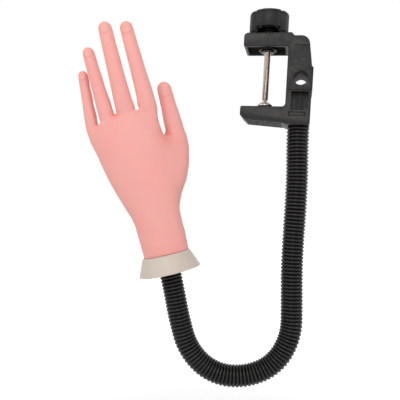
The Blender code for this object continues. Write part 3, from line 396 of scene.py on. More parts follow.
def tube_rings(frames, radii, sides):
    """Rings round a route. radii holds one value for each frame, or one for each of its sides."""
    cosine, sine = circle(sides)
    radii = np.asarray(radii, float).reshape(len(frames), -1)
    rings = []
    for place, radius in zip(frames, np.broadcast_to(radii, (len(frames), sides))):
        rings.append(carried(np.stack([radius * cosine, radius * sine, np.zeros(sides)], -1), place))
    return np.array(rings)


def grid_mesh(name, rings, loop=False):
    """A skin over rings that all have the same count of points. A loop joins the last to the first,
    and otherwise the two ends are closed."""
    rings = np.asarray(rings, float)
    count, sides = rings.shape[:2]
    index = np.arange(count * sides).reshape(count, sides)
    low = index if loop else index[:-1]
    high = np.roll(index, -1, axis=0) if loop else index[1:]
    quads = np.stack([low, np.roll(low, -1, 1), np.roll(high, -1, 1), high], -1)
    faces = quads.reshape(-1, 4).tolist()
    if not loop:
        faces += [index[0][::-1].tolist(), index[-1].tolist()]
    mesh = bpy.data.meshes.new(name)
    mesh.from_pydata(rings.reshape(-1, 3).tolist(), [], faces)
    mesh.shade_smooth()
    return mesh


def sharpen(mesh, degrees):
    """Keeps the edges hard that turn by more than this."""
    mesh.set_sharp_from_angle(angle=math.radians(degrees))


def set_values(mesh, name, values):
    """Gives each point of a mesh a value, for its finish."""
    attribute = mesh.attributes.new(name, "FLOAT", "POINT")
    attribute.data.foreach_set("value", np.asarray(values).astype(np.float32).ravel())


def link_object(name, data):
    obj = bpy.data.objects.new(name, data)
    bpy.context.scene.collection.objects.link(obj)
    return obj


def add_piece(mesh, finish, world=None):
    """Makes an object of a mesh, with its finish and the material slot that the finish belongs to."""
    if world is not None:
        mesh.transform(world)
    obj = link_object(mesh.name, mesh)
    mesh.materials.clear()
    mesh.materials.append(finish)
    return obj


def apply_modifiers(piece):
    """Turns an object's modifiers into plain mesh."""
    depsgraph = bpy.context.evaluated_depsgraph_get()
    mesh = bpy.data.meshes.new_from_object(piece.evaluated_get(depsgraph))
    mesh.name = piece.data.name
    piece.modifiers.clear()
    piece.data = mesh


# Finishes


def feed(tree, socket, value):
    """Links an output to an input, or gives the input a fixed value or colour."""
    if hasattr(value, "is_linked"):
        tree.links.new(value, socket)
    else:
        socket.default_value = (*value, 1.0) if socket.type == "RGBA" else value


def add_node(tree, kind, inputs, **settings):
    """A new node. Its inputs go by name or place, and each is fed an output or a fixed value."""
    node = tree.nodes.new(f"ShaderNode{kind}")
    for name, value in settings.items():
        setattr(node, name, value)
    for socket, value in inputs.items():
        feed(tree, node.inputs[socket], value)
    return node


class Finish:
    """A procedural material, built up from named nodes."""

    def __init__(self, name, slot, colour, roughness, metallic=0.0):
        self.material = bpy.data.materials.new(name)
        self.material.use_nodes = True
        self.material["slot"] = slot
        self.tree = self.material.node_tree
        self.shader = self.tree.nodes["Principled BSDF"]
        self.set("Base Color", colour)
        self.set("Roughness", roughness)
        self.set("Metallic", metallic)
        self.place = self.node("TexCoord", {}).outputs["Object"]
        self.normal = None

    def node(self, kind, inputs, **settings):
        return add_node(self.tree, kind, inputs, **settings)

    def set(self, socket, value):
        feed(self.tree, self.shader.inputs[socket], value)

    def noise(self, scale, detail, stretch=None):
        """Noise in the object's own metres. scale counts waves in a metre."""
        place = self.place
        if stretch:
            place = self.node("Mapping", {"Scale": stretch, "Vector": place}).outputs["Vector"]
        inputs = {"Scale": scale, "Detail": detail, "Vector": place}
        return self.node("TexNoise", inputs).outputs["Fac"]

    def spread(self, value, low, high, start=0.3, end=0.7):
        """A value from start to end, spread from low to high."""
        inputs = {"From Min": start, "From Max": end, "To Min": low, "To Max": high, "Value": value}
        return self.node("MapRange", inputs).outputs["Result"]

    def colours(self, value, *stops):
        """A ramp between two colours. Each stop is (position, colour)."""
        node = self.node("ValToRGB", {"Fac": value})
        for k, (position, colour) in enumerate(stops):
            stop = node.color_ramp.elements[k]
            stop.position = position
            stop.color = (*colour, 1.0)
        return node.outputs["Color"]

    def mix(self, share, first, second):
        """Two colours mixed. Each is an output or a fixed colour."""
        inputs = {"Factor": share, 6: first, 7: second}
        return self.node("Mix", inputs, data_type="RGBA").outputs[2]

    def attribute(self, name):
        return self.node("Attribute", {}, attribute_name=name).outputs["Fac"]

    def wear(self, start, end):
        """How much a place stands out as an edge."""
        return self.spread(self.node("NewGeometry", {}).outputs["Pointiness"], 0.0, 1.0, start, end)

    def relief(self, height, distance, strength):
        """Adds a bump of a height in metres."""
        inputs = {"Distance": distance, "Strength": strength, "Height": height}
        if self.normal:
            inputs["Normal"] = self.normal
        self.normal = self.node("Bump", inputs).outputs["Normal"]
        self.set("Normal", self.normal)


def black_plastic():
    """Moulded plastic: near black, a fine spark-eroded grain, edges rubbed paler, and painted shade
    with a painted brownish reflection in its hollows.
    """
    f = Finish("moulded_black", "black_plastic", (0.009, 0.009, 0.009), 0.42)
    worn, hollow = (0.034, 0.031, 0.028), (0.034, 0.024, 0.017)
    cloud = f.noise(60.0, 4.0)
    base = f.colours(cloud, (0.35, (0.008, 0.008, 0.008)), (0.65, (0.011, 0.011, 0.010)))
    base = f.mix(f.wear(0.53, 0.62), base, worn)
    # Painted shade and a painted brownish reflection on the inside faces: browner, and shining less
    inside = f.attribute("inside")
    f.set("Base Color", f.mix(inside, base, hollow))
    f.set("Roughness", f.spread(f.noise(220.0, 5.0), 0.38, 0.52))
    f.set("Specular IOR Level", f.spread(inside, 0.22, 0.03, 0.0, 1.0))
    f.relief(f.noise(3200.0, 2.0), 0.00003, 0.5)
    f.relief(f.noise(350.0, 3.0), 0.00006, 0.25)
    return f.material


def hose_black():
    """The ribbed sleeve: glossier than the clamp on its crests, and with painted shade dark and
    dull in its troughs.
    """
    f = Finish("hose_sleeve", "hose", (0.012, 0.012, 0.012), 0.32)
    # Painted shade in the troughs: near black, and with little gloss
    deep = (0.002, 0.002, 0.002)
    trough = f.attribute("trough")
    smear = f.noise(140.0, 4.0)
    crest = f.colours(smear, (0.35, (0.012, 0.011, 0.010)), (0.70, (0.018, 0.017, 0.016)))
    f.set("Base Color", f.mix(trough, crest, deep))
    f.set("Roughness", f.spread(f.noise(420.0, 4.0), 0.24, 0.34))
    f.set("Specular IOR Level", f.spread(trough, 0.26, 0.04, 0.0, 1.0))
    f.relief(f.noise(1500.0, 3.0), 0.00003, 0.12)
    return f.material


def plated_steel(
    name="plated_steel", roughness=0.2, light=(0.56, 0.50, 0.45), dark=(0.40, 0.33, 0.28)
):
    """Plated steel, drawn along its length, with a warm tint from light to dark, in part tarnish
    and in part painted reflection.
    """
    f = Finish(name, "steel", (0.62, 0.59, 0.55), roughness, 1.0)
    # Warm streaks of light and dark, stretched up and down: partly tarnish, partly painted reflection
    tarnish_and_reflection = f.noise(90.0, 4.0, (1.0, 1.0, 0.25))
    f.set("Base Color", f.colours(tarnish_and_reflection, (0.35, light), (0.70, dark)))
    drawn = f.noise(900.0, 3.0, (1.0, 1.0, 0.08))
    f.set("Roughness", f.spread(drawn, roughness * 0.7, roughness * 1.7))
    f.relief(f.noise(2400.0, 2.0, (1.0, 1.0, 0.05)), 0.00001, 0.4)
    return f.material


def beige_plastic():
    """The collar: moulded beige plastic, slightly see-through, with a faint flow pattern."""
    f = Finish("moulded_beige", "beige_plastic", (0.64, 0.56, 0.47), 0.45)
    worn = (0.72, 0.68, 0.62)
    flow = f.noise(45.0, 3.0)
    base = f.colours(flow, (0.35, (0.63, 0.56, 0.47)), (0.68, (0.65, 0.55, 0.48)))
    f.set("Base Color", f.mix(f.wear(0.52, 0.62), base, worn))
    f.set("Roughness", f.spread(f.noise(260.0, 4.0), 0.38, 0.54))
    f.set("Subsurface Weight", 0.12)
    f.set("Subsurface Radius", (1.0, 0.7, 0.5))
    f.set("Subsurface Scale", 0.002)
    f.relief(f.noise(2600.0, 2.0), 0.00002, 0.4)
    return f.material


def pink_rubber():
    """The hand: soft matt rubber with a fine skin grain, painted shade of deeper pink in its folds,
    paler nails.
    """
    f = Finish("soft_pink", "pink_rubber", (0.92, 0.41, 0.37), 0.55)
    nail, deep = (0.915, 0.425, 0.378), (0.80, 0.24, 0.20)
    blush = f.noise(28.0, 3.0)
    skin = f.colours(blush, (0.35, (0.915, 0.420, 0.375)), (0.68, (0.925, 0.395, 0.360)))
    skin = f.mix(f.attribute("nail"), skin, nail)
    # Painted shade: deeper pink where the creases, webs and cuticles fold in
    f.set("Base Color", f.mix(f.attribute("fold_shade"), skin, deep))
    f.set("Roughness", f.spread(f.noise(160.0, 4.0), 0.50, 0.62))
    f.set("Subsurface Weight", 0.15)
    f.set("Subsurface Radius", (1.0, 0.32, 0.22))
    f.set("Subsurface Scale", 0.0035)
    f.relief(f.noise(1500.0, 4.0), 0.00005, 0.25)
    return f.material


# Clamp


def dressed(name, finish, body, width):
    """A CAD node's own shape with its flat faces whole and its edges rounded, in place of the node."""
    bm = bmesh.new()
    bm.from_mesh(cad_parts[name].data)
    bmesh.ops.remove_doubles(bm, verts=bm.verts, dist=WELD_GAP)
    bmesh.ops.dissolve_limit(bm, angle_limit=FLAT_ANGLE, verts=bm.verts, edges=bm.edges)
    mesh = bpy.data.meshes.new(f"{name}_dressed")
    bm.to_mesh(mesh)
    bm.free()
    mesh.shade_smooth()
    piece = add_piece(mesh, finish)
    round_off = piece.modifiers.new("rounded edges", "BEVEL")
    round_off.width = width
    round_off.segments = EDGE_STEPS
    round_off.limit_method = "ANGLE"
    round_off.angle_limit = EDGE_ANGLE
    apply_modifiers(piece)
    sharpen(piece.data, 30)
    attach(piece, body)
    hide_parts(name)
    return piece


def knob_lobes(angles):
    """The radius round the knob: four lobes with rounded flutes between them."""
    step = math.pi / 2
    from_flute = (angles + step / 2) % step - step / 2
    share = np.clip(np.abs(from_flute) / KNOB_FLUTE_HALF, 0.0, 1.0)
    flute = (0.5 + 0.5 * np.cos(math.pi * share)) ** KNOB_FLUTE_FULLNESS
    return KNOB_RADIUS - KNOB_FLUTE_DEPTH * flute


def build_knob(finish):
    """The knob's skin from its bore out over its hollow, up its lobes and in over its domed top."""
    angles = np.arange(KNOB_SIDES) * (2 * math.pi / KNOB_SIDES)
    lobes = knob_lobes(angles - math.pi / 4)
    top = KNOB_FOOT + KNOB_HEIGHT
    ceiling = KNOB_FOOT + KNOB_HOLLOW_DEPTH
    bore, hub = SCREW_RADIUS + FIT_GAP, KNOB_HUB_RADIUS
    inner = KNOB_RADIUS - KNOB_FLUTE_DEPTH - KNOB_WALL
    in_notch = KNOB_NOTCH_WIDTH / 2 - np.abs(KNOB_RADIUS * np.cos(angles))
    foot = KNOB_FOOT + KNOB_NOTCH_HEIGHT * smoothstep(in_notch / KNOB_NOTCH_EDGE + 0.5)
    rows = [
        (bore, top - KNOB_ROOF),
        (bore, KNOB_FOOT),
        (bore + KNOB_HUB_EDGE, KNOB_FOOT - KNOB_HUB_LIP),
        (hub - KNOB_HUB_EDGE, KNOB_FOOT - KNOB_HUB_LIP),
        (hub, KNOB_FOOT),
        (hub, ceiling),
        (inner, ceiling),
    ]
    rows += [(inner + outset, foot + rise) for outset, rise in KNOB_INNER_ROWS]
    rows += [(lobes - inset, foot + rise) for inset, rise in KNOB_FOOT_ROWS]
    rows.append((lobes, KNOB_FOOT + KNOB_HEIGHT * 0.5))
    rows += [(lobes - inset, top - drop) for inset, drop in KNOB_TOP_ROWS]
    rim = lobes - KNOB_TOP_ROWS[-1][0]
    rows += [(share * rim, top + KNOB_DOME * (1 - share**2)) for share in KNOB_DOME_SHARES]
    mesh = grid_mesh("clamp_knob_dressed", level_rings(rows, KNOB_SIDES))
    sharpen(mesh, 50)
    knob = add_piece(mesh, finish)
    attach(knob, "screw")
    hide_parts("clamp_knob")


def build_screw(finish):
    """The clamp's screw with its real thread, from the ball in the pad up into the knob."""
    ball = PAD_LIFT + PAD_SOCKET_WALL + FIT_GAP + SCREW_BALL_RADIUS
    neck_foot = ball + math.sqrt(SCREW_BALL_RADIUS**2 - SCREW_NECK_RADIUS**2)
    start = neck_foot + SCREW_NECK_LENGTH
    top = KNOB_FOOT + KNOB_HEIGHT - KNOB_ROOF - FIT_GAP
    rows = [(SCREW_BALL_RADIUS * math.sin(BALL_FLAT), ball - SCREW_BALL_RADIUS)]
    sweep = math.pi - math.asin(SCREW_NECK_RADIUS / SCREW_BALL_RADIUS)
    for k in range(1, BALL_STEPS + 1):
        angle = math.pi - sweep * k / BALL_STEPS
        rows.append((SCREW_BALL_RADIUS * math.sin(angle), ball + SCREW_BALL_RADIUS * math.cos(angle)))
    rows.append((SCREW_NECK_RADIUS, start))
    turn = np.arange(THREAD_SIDES) / THREAD_SIDES
    for height in np.linspace(start, top, round((top - start) / THREAD_PITCH * THREAD_RINGS)):
        phase = (height / THREAD_PITCH - turn) % 1.0
        flank = np.abs(phase * 2 - 1) * FLANK_STEEPNESS - FLANK_CREST
        begun = float(smoothstep((height - start) / (THREAD_PITCH * THREAD_RUN_IN)))
        inset = THREAD_START_INSET * (1 - begun)
        rows.append((SCREW_RADIUS - THREAD_DEPTH * np.clip(flank, 0.0, 1.0) - inset, height))
    mesh = grid_mesh("clamp_screw_threaded", level_rings(rows, THREAD_SIDES))
    sharpen(mesh, 50)
    screw = add_piece(mesh, finish)
    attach(screw, "screw")
    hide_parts("clamp_screw")


def build_clamp(black, steel):
    """The clamp's pieces, with a value on the frame that tells its insides from its outside, for
    the painted shade inside.
    """
    clamp = dressed("clamp_frame", black, "clamp", BROAD_EDGE).data
    inside = clamp.attributes.new("inside", "FLOAT", "FACE")
    hole_x, hole_z = CROSS_HOLE_PLACE
    for face in clamp.polygons:
        x, _, z = face.center
        in_hole = math.hypot(x - hole_x, z - hole_z) < CROSS_HOLE_REACH
        in_jaw = x < JAW_HOLLOW_BACK and JAW_HOLLOW_LOW < z < JAW_HOLLOW_HIGH
        hole_wall = in_hole and abs(face.normal.y) < INSIDE_TILT
        jaw_roof = in_jaw and face.normal.z < -INSIDE_TILT
        inside.data[face.index].value = float(hole_wall or jaw_roof)
    dressed("retaining_clip", black, "clamp", SMALL_EDGE)
    browned = plated_steel("browned_steel", 0.35, (0.10, 0.075, 0.055), (0.05, 0.038, 0.030))
    dressed("screw_bushing", browned, "clamp", SMALL_EDGE)
    dressed("clamp_ferrule", steel, "clamp", SMALL_EDGE)
    dressed("pressure_pad", steel, "pad", SMALL_EDGE)
    build_knob(black)
    build_screw(steel)


# Bendable arm


def arm_start():
    """The frame where the hose leaves the clamp: Z along the hose, Y square to the arm's plane."""
    normal = Vector((-math.sin(ARM_YAW), math.cos(ARM_YAW), 0.0))
    along = Vector((0.0, 0.0, -1.0))
    return axes_frame(normal.cross(along), normal, along, (ARM_X, 0.0, HOSE_TOP))


def arc_step(turn, length):
    """The move along an arc in the local XZ plane that turns by an angle about Y."""
    if abs(turn) < STRAIGHT:
        return Matrix.Translation((0.0, 0.0, length))
    across = length * (1 - math.cos(turn)) / turn
    along = length * math.sin(turn) / turn
    return Matrix.Translation((across, 0.0, along)) @ Matrix.Rotation(turn, 4, "Y")


def route_frame(distance):
    """The frame on the hose's centre line, this far from the clamp."""
    place = arm_start()
    for turn_deg in SECTION_TURNS_DEG:
        turn = math.radians(turn_deg)
        if distance <= SECTION_LENGTH:
            return place @ arc_step(turn * distance / SECTION_LENGTH, distance)
        place = place @ arc_step(turn, SECTION_LENGTH)
        distance -= SECTION_LENGTH
    return place @ Matrix.Translation((0.0, 0.0, distance))


def hose_mesh(name, start, end):
    """A length of ribbed sleeve with its bore, and a value that tells its troughs from its crests,
    for the painted shade in the troughs.
    """
    ribs = round((end - start) / RIB_PITCH)
    ribbed = [
        (start + (rib + along) * RIB_PITCH, height)
        for rib in range(ribs)
        for along, height in RIB_PROFILE
    ]
    bore = [start + k * RIB_PITCH for k in range(ribs + 1)]
    distances = [distance for distance, _ in ribbed] + [end] + bore[::-1]
    crest = HOSE_RADIUS - HOSE_TROUGH_RADIUS
    radii = [HOSE_TROUGH_RADIUS + height * crest for _, height in ribbed]
    radii += [HOSE_TROUGH_RADIUS] + [HOSE_BORE_RADIUS] * len(bore)
    rings = tube_rings([route_frame(d) for d in distances], radii, HOSE_SIDES)
    mesh = grid_mesh(name, rings, loop=True)
    depth = 1 - (np.array(radii) - HOSE_TROUGH_RADIUS) / crest
    set_values(mesh, "trough", np.repeat(np.clip(depth, 0.0, 1.0), HOSE_SIDES))
    sharpen(mesh, 72)
    return mesh


def core_mesh(name, start, end):
    """A length of the wound steel core, with the ridge of its winding."""
    distances = np.linspace(start, end, round((end - start) / CORE_PITCH * CORE_RINGS) + 1)
    turn = np.arange(CORE_SIDES) / CORE_SIDES
    phase = 2 * math.pi * (distances[:, None] / CORE_PITCH - turn[None, :])
    radii = CORE_RADIUS - CORE_RIDGE * (0.5 - 0.5 * np.cos(phase))
    return grid_mesh(name, tube_rings([route_frame(d) for d in distances], radii, CORE_SIDES))


def build_arm(sleeve, steel):
    """Six lengths of sleeve and core, each running across one joint from mid-link to mid-link."""
    count = len(SECTION_TURNS_DEG) // 2
    seam = SEAM_RIBS * RIB_PITCH
    inset = FIT_GAP / 2
    for joint in range(1, count + 1):
        bend_start = (2 * joint - 1) * SECTION_LENGTH
        bend_end = bend_start + SECTION_LENGTH
        start = 0.0 if joint == 1 else bend_start - SECTION_LENGTH + seam
        end = HOSE_LENGTH if joint == count else bend_end + seam
        low, high = route_frame(bend_start).translation, route_frame(bend_end).translation

        hose = add_piece(hose_mesh(f"hose_length_{joint}", start, end), sleeve)
        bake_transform(hose)
        nodes = [f"hose_section_{2 * joint:02d}", f"hose_section_{2 * joint + 1:02d}"]
        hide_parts(f"hose_section_{2 * joint - 1:02d}", *nodes)

        core = add_piece(core_mesh(f"core_length_{joint}", start + inset, end - inset), steel)
        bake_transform(core)
        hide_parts(f"arm_core_{joint}")


# Wrist


def build_wrist(beige, steel, hand):
    """The flared collar, with a thin bead at its foot and a step at its top."""
    hole, recess = STUD_RADIUS + FIT_GAP, FERRULE_RADIUS + FIT_GAP
    recess_top = FERRULE_FLANGE + FIT_GAP
    floor_top = recess_top + COLLAR_FLOOR
    foot, top, height = COLLAR_FOOT_RADIUS, COLLAR_TOP_RADIUS, COLLAR_HEIGHT
    slope = (foot - top) / height
    above_bead = foot - COLLAR_BEAD * slope
    # Each corner: radius, height and how far it is rounded
    corners = (
        (SPIGOT_BORE_RADIUS, SPIGOT_TOP, 0.0),
        (SPIGOT_BORE_RADIUS, floor_top, 0.0),
        (hole, floor_top, 0.0),
        (hole, recess_top, 0.0),
        (recess, recess_top, 0.0),
        (recess, 0.0, 0.0004),
        (recess + COLLAR_SHELL, 0.0, 0.0004),
        (recess + COLLAR_SHELL, COLLAR_CEILING, 0.0010),
        (foot - COLLAR_SHELL - COLLAR_SLANT, COLLAR_CEILING, 0.0020),
        (foot - COLLAR_SHELL, 0.0, 0.0006),
        (foot, 0.0, 0.0007),
        (above_bead + 0.0002, COLLAR_BEAD, 0.0003),
        (above_bead - 0.0001, COLLAR_BEAD + 0.0003, 0.0001),
        (top + COLLAR_STEP * slope, height - COLLAR_STEP, 0.0006),
        (top - 0.0006, height, 0.0004),
        (SPIGOT_RADIUS, height, 0.0),
        (SPIGOT_RADIUS, SPIGOT_TOP, 0.0008),
    )
    rings = level_rings(rounded(corners), COLLAR_SIDES)
    mesh = grid_mesh("wrist_collar_dressed", rings, loop=True)
    sharpen(mesh, 40)
    collar = add_piece(mesh, beige, hand)
    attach(collar, "hand")
    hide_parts("wrist_collar")
    dressed("wire_anchor", beige, "hand", SMALL_EDGE)
    for name in ("hand_ferrule", "swivel_washer", "swivel_nut"):
        dressed(name, steel, "arm_6", FINE_EDGE)


# Hand


def palm_height(share):
    """The height in the hand's frame, for a share of the palm's length above the collar."""
    return WRIST_FOOT + share * PALM_LENGTH


class Digit:
    """One finger or the thumb, in a frame with its root at the origin and Z to its tip."""

    def __init__(self, name, hand):
        root, lean, bow, width, thickness, rise, self.nail = DIGITS[name]
        reach = Vector((lean[0] * rise, lean[1] * rise, rise))
        self.name = name
        self.length = reach.length
        self.half_width = width * PALM_BREADTH / 2
        self.half_thickness = thickness * PALM_THICKNESS / 2
        self.bow = bow * rise
        self.rounding = TIP_ROUND_SHARE * self.half_width * 2
        along = reach.normalized()
        palmward = (Vector((0.0, 1.0, 0.0)) - along * along.y).normalized()
        origin = (root[0] * PALM_BREADTH, root[1] * PALM_THICKNESS, palm_height(root[2]))
        self.local = axes_frame(palmward.cross(along), palmward, along, origin)
        self.world = hand @ self.local
        self.middle = self.length * MIDDLE_JOINT_SHARE
        self.seam = KNUCKLE_OFFSET - FLEX_LENGTH / 2
        self.parting = (KNUCKLE_OFFSET + self.middle) / 2

    def shares(self, heights):
        """The breadth at each height as a share of the root's, and how far the tip has closed."""
        spots, widths = np.array(DIGIT_WIDTH_SHARES).T
        at = np.asarray(heights, float) / self.length
        eased = [np.interp(at + k * DIGIT_EASE / 3, spots, widths) for k in range(-3, 4)]
        scale = np.mean(eased, axis=0)
        scale = scale + STUB_TAPER_SHARE * np.minimum(0.0, at * self.length) / STUB_LENGTH
        over = np.asarray(heights, float) - self.length + self.rounding
        rounding = np.clip(over / self.rounding, 0.0, 1.0)
        return scale * np.sqrt(np.maximum(0.0, 1 - rounding**2)), rounding

    def sections(self, heights):
        """The centre's palmward offset and the half breadth and half thickness at each height."""
        heights = np.asarray(heights)
        scale, rounding = self.shares(heights)
        share = np.clip(heights / self.length, 0.0, 1.0)
        centre = -self.bow * 4 * share * (1 - share)
        centre = centre - ROOT_LIFT * (1 - smoothstep(heights / (ROOT_LIFT_SHARE * self.length)))
        half_y = self.half_thickness * scale
        full = self.half_thickness * self.shares([self.length - self.rounding])[0][0]
        centre = centre - np.where(rounding > 0, TIP_LIFT_SHARE * (full - half_y), 0.0)
        return centre, self.half_width * scale, half_y

    def flare(self, heights, x, half_x):
        """How much further out the skin runs beside a web, where two digits' roots grow together."""
        fade = 1 - smoothstep((heights - self.seam) / FLARE_REACH)
        return ROOT_FLARE * fade * (np.sign(x) == FLARE_SIDES.get(self.name, 0)) * (x / half_x) ** 2

    def details(self, heights, x, y):
        """How far the nail, the creases and the pads move the skin out, and the two finish values."""
        dorsal = smoothstep(-y / (self.half_thickness * DORSAL_FADE))
        palmar = smoothstep(y / (self.half_thickness * PALMAR_FADE))
        out = np.zeros_like(x)
        fold_shade = np.zeros_like(x)
        for at in CREASE_SHARES:
            groove = bump(heights - at * self.length, CREASE_WIDTH) * palmar
            out -= CREASE_DEPTH * groove
            # Painted shade, deeper pink, in each crease
            fold_shade = np.maximum(fold_shade, CREASE_SHADE * groove)
        for at in PAD_SHARES:
            out += PAD_RISE * bump(heights / self.length - at, PAD_WIDTH_SHARE) * palmar

        half = self.half_width * DIGIT_WIDTH_SHARES[-1][1] * NAIL_WIDTH_SHARE
        across = x / half
        cuticle = self.length - self.nail + CUTICLE_ARCH * across**2
        above, within = heights - cuticle, (1 - np.abs(across)) * half
        plate = smoothstep(np.minimum(above, within) / NAIL_EDGE) * dorsal
        root_line = bump(above, NAIL_EDGE) * smoothstep(within / NAIL_FADE + 0.5) * dorsal
        side_line = bump(within, NAIL_EDGE) * smoothstep(above / NAIL_FADE) * dorsal
        end = smoothstep((self.length - heights) / NAIL_FADE)
        groove = NAIL_GROOVE * (root_line + NAIL_SIDE_SHARE * side_line)
        out += (NAIL_RISE * plate - groove) * end
        # Painted shade, deeper pink, along the cuticle and the nail's sides
        fold_shade = np.maximum(fold_shade, (CUTICLE_SHADE * root_line + NAIL_SIDE_SHADE * side_line) * end)
        return out, plate * end, fold_shade

    def skin(self, start, end, wire_end):
        """The skin between two heights as rings, with a bore for the wire and flat ends."""
        tip = end >= self.length
        stop = self.length - self.rounding if tip else end
        heights = np.linspace(start, stop, max(2, round((stop - start) / DIGIT_STEP)))
        if tip:
            reach = self.length * TIP_LAST_SHARE - stop
            count = round(reach / DIGIT_STEP * TIP_DENSITY)
            closing = np.sin(math.pi / 2 * np.arange(1, count + 1) / count)
            heights = np.append(heights, stop + reach * closing)
        heights = heights[:, None]
        cosine, sine = circle(DIGIT_SIDES)
        centre, half_x, half_y = self.sections(heights)
        x, y = superellipse(half_x, half_y, cosine, sine)
        flare = np.sign(x) * self.flare(heights, x, half_x)
        out, nail, fold_shade = self.details(heights, x, y)
        points = np.stack(np.broadcast_arrays(x + flare, y + centre, heights), -1)
        points = points + outward(x, y, half_x, half_y) * out[..., None]

        heights = np.linspace(min(wire_end, end), start, BORE_RINGS)[:, None]
        bore_y = self.sections(heights)[0] + WIRE_BORE_RADIUS * sine
        bore = np.stack(np.broadcast_arrays(WIRE_BORE_RADIUS * cosine, bore_y, heights), -1)
        blank = np.zeros((BORE_RINGS, DIGIT_SIDES))
        nail, fold_shade = np.concatenate([blank, nail]), np.concatenate([blank, fold_shade])
        return np.concatenate([bore, points]), nail, fold_shade, not tip

    def wire_route(self, start):
        """The wire's points in the hand's frame, from the anchor up through the digit."""
        root = self.local.translation
        along = (self.local.to_3x3() @ Vector((0.0, 0.0, 1.0))).normalized()
        pull = (root - start).length
        up = Vector((0.0, 0.0, pull))
        points = []
        for k in range(WIRE_LEAD_STEPS):
            t = k / WIRE_LEAD_STEPS
            h00, h10 = 2 * t**3 - 3 * t**2 + 1, t**3 - 2 * t**2 + t
            h01, h11 = -2 * t**3 + 3 * t**2, t**3 - t**2
            points.append(h00 * start + h10 * up + h01 * root + h11 * along * pull)
        last = self.length * WIRE_END_SHARE
        for k in range(WIRE_STEPS + 1):
            height = last * k / WIRE_STEPS
            centre = float(self.sections([height])[0][0])
            points.append(self.local @ Vector((0.0, centre, height)))
        return points


def oval_rings(rows):
    """Rings over a table of shares of the palm's sizes."""
    cosine, sine = circle(PALM_SIDES)
    rings = []
    for height, offset, palmward, breadth, thickness, rise in rows:
        x, y = superellipse(breadth * PALM_BREADTH, thickness * PALM_THICKNESS, cosine, sine)
        z = palm_height(height) + x * rise
        rings.append(np.stack([x + offset * PALM_BREADTH, y + palmward * PALM_THICKNESS, z], -1))
    return rings


def table_row(table, height):
    """A row of a table of shares at a height between its own rows."""
    heights, *columns = np.array(table).T
    return [height] + [np.interp(height, heights, column) for column in columns]


def hull(points):
    """The convex outline of points in a plane, anticlockwise."""
    points = sorted(map(tuple, points))
    halves = []
    for ordered in (points, points[::-1]):
        half = []
        for x, y in ordered:
            while len(half) > 1:
                (ax, ay), (bx, by) = half[-2:]
                if (bx - ax) * (y - ay) - (by - ay) * (x - ax) > 0:
                    break
                half.pop()
            half.append((x, y))
        halves.append(half[:-1])
    return np.array(halves[0] + halves[1])


def taut_rings():
    """The back of the hand, drawn taut from the palm over to the ball of the thumb."""
    rings = []
    for height in np.linspace(TAUT_START, TAUT_END, TAUT_ROWS):
        level = table_row(PALM_SHARES, height)[:5] + [0.0]
        both = np.concatenate(oval_rings([level, table_row(THENAR_SHARES, height)]))
        outline = hull(both[both[:, 1] < TAUT_LIMIT][:, :2])
        outline = np.concatenate([outline, outline[:1]])
        along = np.append(0.0, np.cumsum(np.hypot(*np.diff(outline, axis=0).T)))
        at = np.linspace(0.0, along[-1], PALM_SIDES, endpoint=False)
        x, y = (np.interp(at, along, outline[:, k]) for k in (0, 1))
        rings.append(np.stack([x, y, np.full(PALM_SIDES, palm_height(height))], -1))
    return rings


def web_rings(web):
    """A small egg of skin between two digits."""
    x, y, z, half_x, half_y, half_z = web
    cosine, sine = circle(PALM_SIDES)
    rings = []
    for angle in np.linspace(-WEB_SWEEP, WEB_SWEEP, WEB_RINGS):
        width = math.cos(angle)
        level = np.full(PALM_SIDES, z + half_z * math.sin(angle))
        rings.append(np.stack([x + half_x * width * cosine, y + half_y * width * sine, level], -1))
    return rings


def stub_rings(digit):
    """A digit's foot, sunk in the palm and running a little past the seam."""
    cosine, sine = circle(PALM_SIDES)
    rings = []
    for height in np.linspace(-STUB_LENGTH, digit.seam + STUB_OVERRUN, STUB_RINGS):
        centre, half_x, half_y = (float(v[0]) for v in digit.sections([height]))
        x, y = superellipse(half_x, half_y, cosine, sine)
        rings.append(carried(np.stack([x, y + centre, np.full(PALM_SIDES, height)], -1), digit.local))
    return rings


def palm_body(digits):
    """The palm, ball of the thumb and digits' feet, run together into one smooth skin."""
    bm = bmesh.new()
    shapes = [oval_rings(PALM_SHARES), oval_rings(THENAR_SHARES), taut_rings()]
    shapes += [stub_rings(digit) for digit in digits]
    shapes += [web_rings(web) for web in WEBS]
    for rings in shapes:
        mesh = grid_mesh("lump", rings)
        bm.from_mesh(mesh)
        bpy.data.meshes.remove(mesh)
    mesh = bpy.data.meshes.new("palm_skin")
    bm.to_mesh(mesh)
    bm.free()
    obj = link_object("palm_skin", mesh)
    remesh = obj.modifiers.new("one skin", "REMESH")
    remesh.mode = "VOXEL"
    remesh.voxel_size = SKIN_VOXEL
    remesh.use_smooth_shade = True
    ease = obj.modifiers.new("eased", "SMOOTH")
    ease.factor = SKIN_SMOOTHING_SHARE
    ease.iterations = SKIN_SMOOTHING
    apply_modifiers(obj)
    smooth = obj.data
    bpy.data.objects.remove(obj)
    bpy.data.meshes.remove(mesh)
    smooth.name = "palm_skin"
    return smooth


